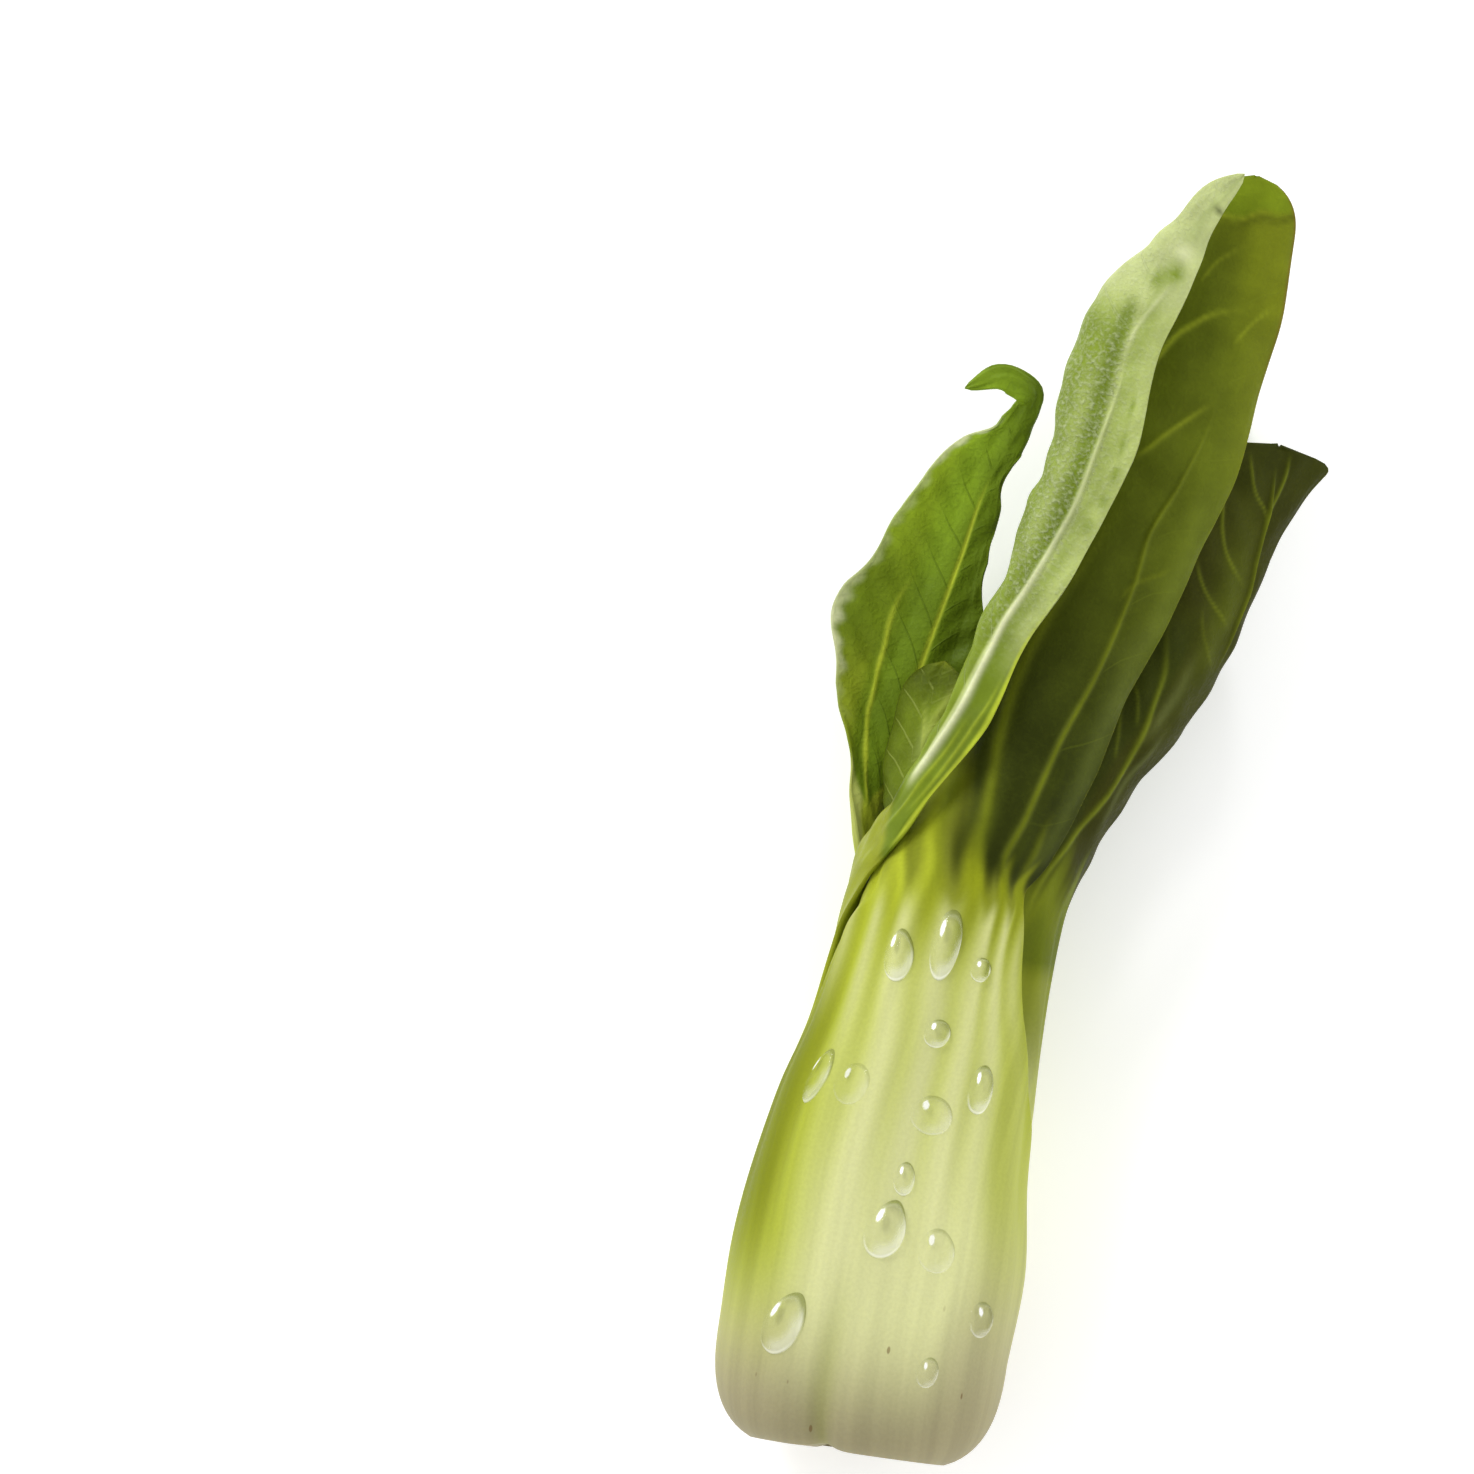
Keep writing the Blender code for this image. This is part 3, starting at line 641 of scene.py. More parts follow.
    def line(self, half, strength, *points):
        """A rib along a line, which swells in over its first quarter and fades out over its last third."""
        start, end = points[0][0], points[-1][0]
        span = end - start
        fade = ramp(self.along, start, start + span / 4) * fall(self.along, end - span / 3, end)
        lean = (curve_through(points, self.along + 0.5) - curve_through(points, self.along - 0.5))[..., 0]
        away = self.off_line(points) / np.hypot(1, lean)
        return strength * bell(away, 0, half) * fade

    def run_veins(self):
        """Side veins leave the midrib at even steps, those on the left a little further up, and climb towards
        the margin. Their phase is whole on each vein, and the swells between them are highest half way."""
        pitch, low, high = self.look.laterals
        climb = low + (high - low) * ramp(self.along, 0, self.along.max())
        away = np.abs(self.across)
        bow = away * climb * (1 - VEIN_BOW * away)
        swing = VEIN_SWING * uneven(self.across * 0.16, self.along * 0.09, self.seed) * ramp(away, 0, 4)
        self.phase = (self.along - bow) / pitch + VEIN_STAGGER * np.sign(self.across) + swing
        swell = 0.5 - 0.5 * np.cos(2 * np.pi * self.phase)
        puff = swell * ramp(np.abs(self.t), 0.05, 0.4) * fall(np.abs(self.t), 0.8, 1)
        self.quilt = puff - 0.5 + 0.6 * uneven(self.across * 0.55, self.along * 0.5, self.seed + 3)

    def wavy(self, blade, count, ripple):
        """The blade with its margins waved: a wave along the margin that grows with the cube of the distance
        from the midrib, and shallow scallops in the margin's line."""
        height, length, start = self.look.waves
        depth, spacing = self.look.notches
        t, along = self.t[count:], self.along[count:]
        side = np.where(t < 0, 0.0, RIGHT_WAVE)
        swing = np.sin(2 * np.pi * (along / length + start) + side + 0.8 * uneven(along * 0.05, t, self.seed))
        grown = ramp(along, 4, 25) * fall(self.share[count:], 0.93, 1)
        lift = ripple * height * swing * np.abs(t) ** 3 * grown
        pull = -ripple * depth * np.abs(uneven(along / spacing, side, self.seed + 7)) * np.abs(t) ** 4 * grown
        normal = normals_of(blade)
        outward = np.gradient(blade, axis=1)
        outward /= np.maximum(np.linalg.norm(outward, axis=2), 1e-9)[..., None]
        return blade + normal * lift[..., None] + outward * (np.sign(t) * pull)[..., None]


# ---------------------------------------------------------------- colour


def over(base, colour, share):
    """A field of colours with another colour laid over it, by a share from 0 to 1."""
    share = np.clip(share, 0, 1)[..., None]
    return base * (1 - share) + np.array(colour) * share


def coated(base, colours, *coats):
    """A field of colours with coats laid over it in turn, each the name of its colour and its share."""
    for name, share in coats:
        base = over(base, getattr(colours, name), share)
    return base


def plain(colour, sheet):
    """One colour all over a sheet."""
    return np.broadcast_to(np.array(colour), (*sheet.t.shape, 3))


def stalk_tint(sheet, colours, *coats):
    """Ivory on the ridges and yellow-green in the valleys and towards the neck and margins, with a greyish
    root end that reaches further up on the sides, and then a leaf's own coats."""
    y, valley, neck = sheet.y, 1 - sheet.ridge, sheet.leaf.neck
    root_top = 24 + 20 * ramp(-sheet.angle, 22, 60) + 30 * ramp(sheet.angle, 22, 60)
    return coated(
        plain(colours.ivory, sheet), colours,
        ("lime", 0.06 + 0.3 * ramp(y, 24, neck) + 0.35 * valley * ramp(y, 24, 60)),
        ("lime", ramp(y, neck - 20, neck - 2) * (0.05 + 0.95 * valley)),
        ("olive", 0.75 * valley * ramp(y, neck - 18, neck - 3)),
        ("olive", 0.6 * ramp(np.abs(sheet.t), 0.8, 1.0) * ramp(y, 20, 60)),
        ("root", 0.92 * fall(y, 1, root_top)),
        *coats,
    )


def greened(sheet, colours, stalk, blade, rib, share, start=-1.0, length=9.0, lead=4.0, shade=0.8):
    """The stalk's colours below the neck and the blade's above it, with the ribs and the midrib in their own.
    From start on, the stalk goes over to the blade along length, after an olive shade. The change comes
    later by lead in the valleys, which run on as ribs, and comes unevenly from strand to strand."""
    strands = uneven(sheet.flow * 0.55, sheet.y * 0.05, sheet.seed)
    from_start = sheet.along - start - lead * ((1 - sheet.ridge) ** 1.5 + 0.35 * strands)
    tint = over(stalk, colours.olive, shade * ramp(from_start, -5, 0))
    green = ramp(from_start, 0, length)[..., None]
    tint = tint * (1 - green) + blade * green
    return over(over(tint, rib, share * sheet.ribs), rib, share * sheet.midrib)


def front_tint(sheet, colours):
    """The front leaf: its stalk is yellow-green towards both sides and olive along the left outline, which is
    painted shade where it turns away from the light, as are the olive on its right side and in the crease low
    down. Its blade is nearly black green between the ribs near the neck, partly painted shade under the
    crossing leaf, yellow-green at the neck's left with a painted lime spot of light against that leaf's
    shadow, and grows lighter towards the tip and the right margin, which has a painted sheen, with a fresh
    green tip above a fold that has painted shade along it and a painted highlight on its edge."""
    y, angle, along, across = sheet.y, sheet.angle, sheet.along, sheet.across
    left = ramp(-across, 4, 9)
    low_left = -across - 0.45 * along
    fold = along - 107.4 - 0.25 * across - 0.4 * np.sin(across)
    stalk = stalk_tint(
        sheet, colours,
        ("lime", 0.9 * ramp(-angle, 20, 50) * ramp(y, 6, 34) * (1 - 0.75 * ramp(y, 50, 75) * sheet.ridge)),
        ("lime", 0.65 * ramp(angle, 30, 58) * ramp(y, 16, 46)),
        # painted shade: olive towards the right side and along the left outline, where the stalk turns away
        # from the light
        ("olive", 0.15 * ramp(angle, 36, 62) * ramp(y, 10, 40)),
        ("olive", 0.98 * ramp(-angle, 42, 64) * ramp(y, 14, 40) * (1 - 0.6 * ramp(y, 60, 80))),
        ("moss", 0.35 * ramp(-angle, 56, 74) * ramp(y, 20, 44) * fall(y, 60, 76)),
        # painted shade in the crease of the fold low on the stalk
        ("olive", 0.3 * crease(y, angle) ** 3 * fall(y, 14, 34)),
        ("lime", 0.9 * left * ramp(along, -9, -3)),
    )
    blade = coated(
        # nearly black green near the neck: the blade's own colour, darkened partly as painted shade under the
        # crossing leaf
        plain(colours.deep, sheet), colours,
        ("moss", ramp(along, 20, 74) + 0.3 * ramp(across, 2, 7) * ramp(along, 5, 30)),
        ("olive", 0.5 * ramp(along + 3 * across, 78, 122)),
        ("olive", 0.7 * ramp(low_left, 3, 7)),
        ("fresh", 0.5 * ramp(low_left, 5, 9)),
        # painted light: a lime spot where the crossing leaf's shadow falls on the blade
        ("lime", 0.6 * sheet.spot(8, -13.5, 5, 1.5)),
        # painted sheen along the right margin
        ("silver", 0.06 * sheet.spot(28, 6.2, 26, 1.6)),
        ("fresh", 0.75 * ramp(fold, 0.2, 1.2)),
        # painted shade along the fold, and a painted highlight on its edge just above it
        ("deep", 0.4 * bell(fold, -0.4, 0.5) * ramp(across, -4, 3)),
        ("lime", 0.4 * bell(fold, 0.5, 0.35) * ramp(-across, -5, 2)),
        ("rust", 0.6 * ramp(sheet.t, 0.9, 1.0) * ramp(along, 70, 100)),
    )
    rib = 0.6 * np.array(colours.moss) + 0.4 * np.array(colours.olive)
    start, length, shade = -3.0 + 3.0 * left, 6.5 + 3.0 * left, 0.92 - 0.3 * left
    tint = greened(sheet, colours, stalk, blade, rib, 0.7, start=start, length=length, shade=shade)
    tint = over(tint, colours.rib, 0.33 * sheet.ribs * ramp(along, 52, 78))
    streaks = 0.13 * uneven(sheet.flow * 0.8, along * 0.04, 5) + 0.45 * (0.5 - sheet.ridge)
    return tint * (1 + streaks * ramp(along, -6, 0) * fall(along, 12, 30))[..., None]


# Places of the darker green blotches on the crossing leaf's right half: how far along and across they lie,
# their length and their width.
CROSSING_BLOTCHES = (
    (66.0, 2.8, 1.1, 0.8),
    (70.2, 3.6, 1.3, 0.8),
    (74.4, 3.8, 1.6, 0.7),
    (79.0, 3.4, 1.7, 0.6),
    (84.5, 3.2, 1.8, 0.5),
)


def crossing_tint(sheet, colours):
    """The crossing leaf: a yellow-green stalk, a white midrib, a green wing with bright lines on the right of
    it low down, and a blade that is green on the left of the midrib, pale with small darker green blotches on
    its right, and silvery above. The silver is partly painted sheen, and more light and shade are painted on
    it: a painted sheen band and painted light on the left margin, painted shade in the valley beside the
    midrib and in the gap beside its left margin low down, and a painted sheen at the top with a painted
    highlight near the tip."""
    along, across, t, spot = sheet.along, sheet.across, sheet.t, sheet.spot
    stalk = stalk_tint(
        sheet, colours,
        ("lime", 0.95 * ramp(sheet.y, 50, 75)),
        ("olive", 0.75 * ramp(sheet.y, 62, 86)),
    )
    # pale: a painted sheen band on the left half
    pale = bell(across, 0.02 * (along - 70) - 4.6, 1.7) * ramp(along, 52, 62) * fall(along, 82, 94)
    # beside: painted shade in the valley just left of the midrib
    beside = bell(across, -1.9, 1.1) * ramp(along, 50, 66) * fall(along, 97, 102)
    wing = ramp(t, 0.0, 0.2) * fall(along + 5 * t, 40, 54)
    blotches = sum(spot(*blotch) for blotch in CROSSING_BLOTCHES)
    blade = coated(
        # the silver all over is partly a painted sheen
        plain(colours.silver, sheet), colours,
        ("fresh", 0.92 * ramp(-t, -0.02, 0.1) * fall(along, 94, 102)),
        ("silver", 0.45 * pale),
        # painted shade in the valley beside the midrib, and a green patch at the left margin
        ("fresh", 0.9 * beside + 0.8 * spot(94.5, -8.2, 4, 1.5)),
        ("leaf", 0.35 * beside),
        # painted light on the left margin
        ("silver", 0.6 * ramp(-t, 0.75, 1.0) * ramp(along, 35, 60) * fall(along, 86, 92)),
        ("fresh", ramp(t, 0.02, 0.2) * (0.6 - 0.2 * ramp(along, 40, 70)) * fall(t, 0.3, 0.7)),
        ("fresh", 0.95 * wing),
        ("leaf", 0.4 * wing),
        ("fresh", 0.95 * fall(along, 18, 25)),
        ("leaf", 0.4 * fall(along, 12, 19)),
        # painted shade in the gap beside the left margin low down
        ("deep", 0.7 * ramp(-across, 0.2, 1.4) * fall(along, 15.5, 20)),
        # painted sheen over the top and a painted highlight near the tip
        ("white", 0.25 * ramp(along, 98, 104) + 0.5 * spot(110.3, 1.8, 1.4, 1.6)),
        ("fresh", 0.8 * spot(104.4, 0.2, 1.8, 1.5) + 0.9 * spot(106.4, 2.4, 1.6, 1.4)),
        ("deep", 0.8 * spot(119.5, 1.9, 0.5, 1.1)),
        ("fresh", 0.75 * blotches),
    )
    tint = greened(
        sheet, colours, stalk, blade, colours.white, 0.0, start=11.0 - 1.5 * across, length=3.0, lead=0.0,
        shade=0.1,
    )
    edge = ramp(t, 0.84, 0.95) * fall(along, 42, 58) * ramp(along, 8, 14)
    return coated(
        tint, colours,
        ("rib", 0.8 * sheet.ribs * fall(along, 60, 80) + 0.9 * edge),
        ("white", 0.5 * sheet.ribs * ramp(along, 60, 80)),
        ("white", sheet.midrib * (1 - 0.6 * ramp(along, 45, 80))),
    )


def right_tint(sheet, colours):
    """The right leaf: an olive stalk that darkens towards the neck and a bronze green blade, with painted
    shade that makes it nearly black next to the front leaf, where it folds away, a lighter painted sheen in
    its middle, and painted soft pale gleams along its folds."""
    y, along, spot = sheet.y, sheet.along, sheet.spot
    stalk = stalk_tint(
        sheet, colours,
        ("olive", 0.8 * ramp(y, 50, 72)),
        ("moss", 0.35 * ramp(y, 50, 70) + 0.9 * ramp(y, 74, 80)),
    )
    blade = coated(
        plain(colours.bronze, sheet), colours,
        # painted shade where the blade folds away next to the front leaf
        ("deep", 0.9 * ramp(-sheet.across, 7.2, 9.5) * fall(along, 40, 52)),
        # painted sheen in the middle of the blade
        ("moss", 0.45 * spot(50, -4, 14, 4)),
        ("deep", 0.4 * ramp(along, 60, 76)),
        # painted gleams along the folds
        ("silver", 0.16 * spot(33, -6.4, 6, 1.1) + 0.14 * spot(20, -3.6, 7, 0.7)),
    )
    rib = 0.75 * np.array(colours.moss) + 0.25 * np.array(colours.lime)
    return greened(sheet, colours, stalk, blade, rib, 0.6, start=-4.0, shade=0.25)


def left_tint(sheet, colours):
    """The left leaf: bright green with bright yellow-green veins, darker on the right of the midrib, with
    painted light that makes it lighter high up on its left, where it turns away into shade, and painted
    highlights in ragged silvery patches along the left margin. Its stalk is pale up to the blade's foot,
    partly painted light against the crossing leaf's shadow."""
    along, across = sheet.along, sheet.across
    pale = ramp(sheet.y, 62, 80)
    stalk = stalk_tint(
        sheet, colours,
        ("lime", 0.4 + 0.6 * pale),
        # painted light: the rib colour lightens the stalk's upper end against the crossing leaf's shadow
        ("rib", 0.8 * pale),
        ("ivory", 0.35 * ramp(across, 3.6, 4.6) * pale),
    )
    blade = coated(
        plain(colours.grass, sheet), colours,
        ("fresh", 0.8 * ramp(across, 3.5, 8)),
        ("lime", 0.35 * ramp(across, 6.5, 9) * fall(along, 25, 36)),
        ("leaf", 0.7 * ramp(-across, 0.5, 4) * (1 - 0.5 * ramp(along, 40, 60))),
    )
    # painted light high up on the left, where the blade turns away into shade
    blade = blade * (1 + 0.55 * ramp(along, 42, 56) * ramp(across, -1, 4))[..., None]
    # patches: painted highlights along the left margin
    patches = bell(along, 33, 7) + 0.6 * bell(along, 66, 5) + 0.3 * ramp(along, 36, 42)
    ragged = 0.93 - 0.05 * uneven(along * 1.2, across * 0.2, 3) - 0.04 * np.sin(2 * np.pi * along / 3.4)
    patches = patches * ramp(sheet.t, ragged - 0.08, ragged + 0.05) * fall(along, 70, 74)
    blade = over(blade, colours.white, 0.9 * patches)
    foot = 8.7 + 1.3 * np.abs(across - 3.2)
    return greened(
        sheet, colours, stalk, blade, colours.rib, 1.3, start=foot, length=1.2, lead=0.0, shade=0.0
    )


def tuft_tint(sheet, colours):
    """The young leaf inside on the left: light green with pale veins, darker at its foot, where painted shade
    lies in the gap under the crossing leaf, along its left margin and towards its tip, which has a bright
    rim, with a painted sheen spot."""
    along, across = sheet.along, sheet.across
    blade = coated(
        plain(colours.leaf, sheet), colours,
        ("fresh", 0.4 * ramp(across, -5, 0) * ramp(along, 20, 27)),
        ("olive", 0.15),
        # painted shade at the foot, in the gap under the crossing leaf
        ("deep", 0.6 * fall(along, 17, 24)),
        # painted sheen spot
        ("silver", 0.3 * sheet.spot(30.5, 1.0, 3.5, 1.2)),
        ("deep", 0.35 * ramp(-sheet.t, 0.4, 1.0)),
        ("deep", 0.45 * ramp(sheet.share, 0.86, 0.96)),
        ("lime", 0.25 * ramp(sheet.share, 0.985, 0.99)),
    )
    rib = 0.5 * (np.array(colours.lime) + np.array(colours.silver))
    return greened(sheet, colours, stalk_tint(sheet, colours), blade, rib, 0.5)


def plain_tint(sheet, colours):
    """A leaf inside or under the head: mid green, lighter towards its margins."""
    light = ramp(sheet.along, 15, 80) * (0.5 + 0.5 * np.abs(sheet.t))
    blade = over(plain(colours.leaf, sheet), colours.fresh, light)
    return greened(sheet, colours, stalk_tint(sheet, colours), blade, colours.rib, 0.7)


TINTS = {
    "front_leaf": front_tint,
    "crossing_leaf": crossing_tint,
    "right_leaf": right_tint,
    "left_leaf": left_tint,
    "inner_left_leaf": tuft_tint,
}


# ---------------------------------------------------------------- materials


MIX_FIRST, MIX_SECOND, MIX_RESULT = 6, 7, 2  # the colour sockets of a Mix node


class Tree:
    """A material's or world's node tree, with short ways to add the nodes that the finishes are made of."""

    def __init__(self, owner, shader="Principled BSDF"):
        owner.use_nodes = True
        self.owner, self.nodes, self.links = owner, owner.node_tree.nodes, owner.node_tree.links
        self.shader = self.nodes[shader]

    def put(self, socket, value):
        """Links a socket to another node's output, or sets its value."""
        if isinstance(value, bpy.types.NodeSocket):
            self.links.new(value, socket)
        else:
            socket.default_value = value

    def finish(self, values):
        """Fills the shader's inputs, by their names."""
        for name, value in values.items():
            self.put(self.shader.inputs[name], value)

    def node(self, kind, values=None, **settings):
        """A new node's outputs, once its settings are made and its inputs filled by number or name."""
        node = self.nodes.new("ShaderNode" + kind)
        for name, setting in settings.items():
            setattr(node, name, setting)
        for key, value in (values or {}).items():
            self.put(node.inputs[key], value)
        return node.outputs

    def maths(self, operation, a, b):
        return self.node("Math", {0: a, 1: b}, operation=operation)[0]

    def times(self, product, *factors):
        """The product of two or more values."""
        for factor in factors:
            product = self.maths("MULTIPLY", product, factor)
        return product

    def fade(self, value, low, high, start=0.0, end=1.0):
        """Goes smoothly from start to end as value goes from low to high."""
        values = dict(enumerate((value, low, high, start, end)))
        return self.node("MapRange", values, interpolation_type="SMOOTHSTEP")[0]

    def mix(self, share, a, b, way="MIX"):
        """Colour a with colour b over it, by a share."""
        values = {0: share, MIX_FIRST: a, MIX_SECOND: b}
        return self.node("Mix", values, data_type="RGBA", blend_type=way)[MIX_RESULT]

    def grey(self, value):
        """A grey as bright as a value."""
        return self.node("CombineColor", {0: value, 1: value, 2: value})[0]

    def shaded(self, colour, value):
        """A colour made lighter or darker by a factor."""
        return self.mix(1.0, colour, self.grey(value), "MULTIPLY")

    def attribute(self, name, output):
        return self.node("Attribute", attribute_name=name)[output]

    def parts(self, vector):
        return self.node("SeparateXYZ", {0: vector})

    def stretched(self, vector, scale):
        return self.node("VectorMath", {0: vector, 1: scale}, operation="MULTIPLY")[0]

    def noise(self, vector, scale, detail):
        return self.node("TexNoise", {"Vector": vector, "Scale": scale, "Detail": detail})[0]

    def cells(self, vector, scale, feature):
        return self.node("TexVoronoi", {"Vector": vector, "Scale": scale}, feature=feature)

    def bumps(self, *heights):
        """The normal over some layers of relief, each a height field and its strength."""
        normal = {}
        for height, strength in heights:
            values = {"Strength": strength, "Distance": BUMP_DISTANCE, "Height": height, **normal}
            normal = {"Normal": self.node("Bump", values)[0]}
        return normal["Normal"]


BUMP_DISTANCE = 0.3 * MM
WATER_IOR = 1.33
SPECK = (0.16, 0.09, 0.03, 1)
BROWN = (0.36, 0.25, 0.11, 1)


@dataclass
class Finish:
    """How a leaf's surface is finished: the colour and share of its side veins, the share of the fine net
    between them, the size of the net's meshes in millimetres, how far both stand out, its roughness, its
    shine, and the share of its wrinkles, which are as pale as the veins. On the crossing leaf, whose veins
    are pale, the net and the wrinkles are painted glints."""

    vein: tuple = (0.30, 0.36, 0.05)
    vein_share: float = 0.5
    net_share: float = 0.12
    mesh: float = 1.6
    relief: float = 0.35
    roughness: float = 0.42
    shine: float = 0.15
    wrinkles: float = 0.0


FINISHES = {
    # the crossing leaf's pale net and wrinkles are painted glints on its crinkled blade, as well as relief
    "crossing_leaf": Finish((0.60, 0.66, 0.40), 0.2, 0.08, 1.05, 0.8, 0.4, 0.12, 0.42),
    "front_leaf": Finish((0.18, 0.225, 0.015), 0.45, 0.03, 2.2, 0.25, 0.5, 0.06),
    "right_leaf": Finish((0.12, 0.14, 0.015), 0.6, 0.03, 2.4, 0.3, 0.5, 0.04),
    "left_leaf": Finish((0.07, 0.115, 0.006), 0.4, 0.12, 1.5, 0.45, 0.42, 0.1),
    "inner_left_leaf": Finish((0.34, 0.40, 0.09), 0.4, 0.04, 1.4, 0.5, 0.42, 0.06),
}


def leaf_material(name, finish):
    """A leaf's finish. The tint is the surface's own, field by field. Over it lie mottling on the blade,
    fibres along the stalk, side veins where their phase is whole, a fine net of veins between them, and
    wrinkles, which all stand out a little; small brown specks lie near the root. Where the vein colour is
    pale, the net and the wrinkles are painted glints."""
    tree = Tree(bpy.data.materials.new(name))
    place = tree.attribute("sheet", "Vector")
    phase, width, strength = tree.parts(tree.attribute("veins", "Vector"))
    blade, root, netted = tree.parts(tree.attribute("zones", "Vector"))
    stalk = tree.maths("SUBTRACT", 1.0, blade)

    mottle = tree.noise(place, 0.16, 3.0)
    grain = tree.noise(place, 1.7, 3.0)
    fibres = tree.noise(tree.stretched(place, (1.0, 0.03, 1.0)), 0.35, 2.0)
    net = tree.fade(tree.cells(place, 1 / finish.mesh, "DISTANCE_TO_EDGE")["Distance"], 0.0, 0.28, 1.0, 0.0)
    net = tree.times(net, netted, tree.fade(grain, 0.35, 0.6, 0.2, 1.0))
    off = tree.maths("DIVIDE", tree.maths("PINGPONG", phase, 0.5), width)
    line = tree.times(tree.fade(off, 0.35, 1.0, 1.0, 0.0), strength)
    wrinkle_and_glint = tree.noise(tree.stretched(place, (0.8, 1.0, 1.0)), 1.5, 5.0)
    wrinkle_and_glint = tree.times(tree.fade(wrinkle_and_glint, 0.42, 0.72), netted)
    dot = tree.cells(tree.stretched(place, (1.0, 0.45, 1.0)), 0.28, "F1")
    chosen = tree.maths("GREATER_THAN", tree.parts(dot["Color"])[0], 0.6)
    speck = tree.times(tree.fade(dot["Distance"], 0.05, 0.09, 1.0, 0.0), chosen, root)

    colour = tree.attribute("tint", "Color")
    patch = tree.mix(stalk, tree.grey(tree.fade(mottle, 0.3, 0.7, 0.88, 1.12)), (1, 1, 1, 1))
    colour = tree.mix(1.0, colour, patch, "MULTIPLY")
    colour = tree.shaded(colour, tree.fade(grain, 0.3, 0.7, 0.97, 1.03))
    colour = tree.mix(stalk, colour, tree.shaded(colour, tree.fade(fibres, 0.3, 0.7, 0.93, 1.07)))
    for marks, share in ((net, finish.net_share), (line, finish.vein_share), (wrinkle_and_glint, finish.wrinkles)):
        colour = tree.mix(tree.times(marks, share), colour, (*finish.vein, 1))
    colour = tree.mix(tree.times(speck, 0.7), colour, SPECK)

    raised = tree.maths("ADD", line, tree.times(net, 0.35))
    raised = tree.maths("ADD", raised, tree.times(wrinkle_and_glint, 2 * finish.wrinkles))
    tree.finish({
        "Base Color": colour,
        "Roughness": tree.fade(grain, 0.2, 0.8, finish.roughness - 0.07, finish.roughness + 0.1),
        "Specular IOR Level": finish.shine,
        "Subsurface Weight": 0.1,
        "Subsurface Radius": (1.0, 0.9, 0.35),
        "Subsurface Scale": 1.2 * MM,
        "Normal": tree.bumps((raised, finish.relief), (grain, 0.12), (tree.times(fibres, stalk), 0.25)),
    })
    return tree.owner


def stem_material(colours):
    """Ivory flesh, browned in blots at the cut."""
    tree = Tree(bpy.data.materials.new("stem_finish"))
    place = tree.node("TexCoord")["Object"]
    grain = tree.noise(place, 900.0, 4.0)
    blot = tree.noise(place, 260.0, 3.0)
    colour = tree.mix(tree.fade(grain, 0.35, 0.7), (*colours.ivory, 1), (*colours.root, 1))
    cut = (STEM_FOOT - ORIGIN[1]) * MM
    at_cut = tree.fade(tree.parts(place)["Y"], cut + 1.2 * MM, cut)
    brown = tree.times(at_cut, tree.fade(blot, 0.35, 0.65, 0.2, 0.85))
    tree.finish({
        "Base Color": tree.mix(brown, colour, BROWN),
        "Roughness": tree.fade(grain, 0.3, 0.7, 0.5, 0.7),
        "Normal": tree.bumps((grain, 0.4)),
    })
    return tree.owner


def water_material():
    """Water: clear but for its tint, which paints the places that gather or bend away the light as painted
    light and painted shade, and a painted highlight.
    """
    tree = Tree(bpy.data.materials.new("water"))
    tree.finish({
        "Base Color": tree.attribute("tint", "Color"),
        "Alpha": tree.attribute("tint", "Alpha"),
        "Roughness": 0.04,
        "IOR": WATER_IOR,
    })
    return tree.owner


# ---------------------------------------------------------------- meshes


def shell_faces(rows, size):
    """The quads of a closed shell through rings of points: between one ring and the next, and at each end a
    strip from the ring's one half to the other."""
    ring, i = np.arange(rows - 1)[:, None] * size, np.arange(size)[None, :]
    j = (i + 1) % size
    sides = np.stack([ring + i, ring + j, ring + size + j, ring + size + i], -1).reshape(-1, 4)
    i = np.arange(size // 2 - 1)
    cap = np.stack([i, i + 1, size - 2 - i, size - 1 - i], -1)
    return np.concatenate([sides, cap + (rows - 1) * size, cap[:, ::-1]])


def add_object(name, data):
    """An object in the scene."""
    obj = bpy.data.objects.new(name, data)
    bpy.context.scene.collection.objects.link(obj)
    return obj


def add_piece(name, points, faces, material):
    """A smooth-shaded mesh of points in the head's frame, as an object that rides on the head."""
    mesh = bpy.data.meshes.new(name)
    placed = (np.asarray(points, float) - ORIGIN) * MM
    mesh.from_pydata(placed.reshape(-1, 3).tolist(), [], faces.tolist())
    mesh.shade_smooth()
    mesh.materials.append(material)
    obj = add_object(name, mesh)
    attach(obj, "root")
    return obj


def write_field(obj, name, values):
    """Stores for each point of a mesh three values or, as a colour, four, for its material to read."""
    kind, key = ("FLOAT_COLOR", "color") if values.shape[-1] == 4 else ("FLOAT_VECTOR", "vector")
    attribute = obj.data.attributes.new(name, kind, "POINT")
    attribute.data.foreach_set(key, np.ascontiguousarray(values, np.float32).ravel())


def wrapped(outer, inner):
    """A field on a shell's rings, from its grids on the outer and the inner face."""
    return np.concatenate([outer, inner[:, ::-1]], axis=1)


APART = 50.0  # how far apart two leaves lie in the patterns' space
FACES_APART = 20.0
VEIN_WIDTH, VEIN_TAPER = 0.34, 0.22  # a side vein's half-width at the midrib, and what it loses to the margin
INNER_GREEN = 0.25  # how much greener the inner faces are


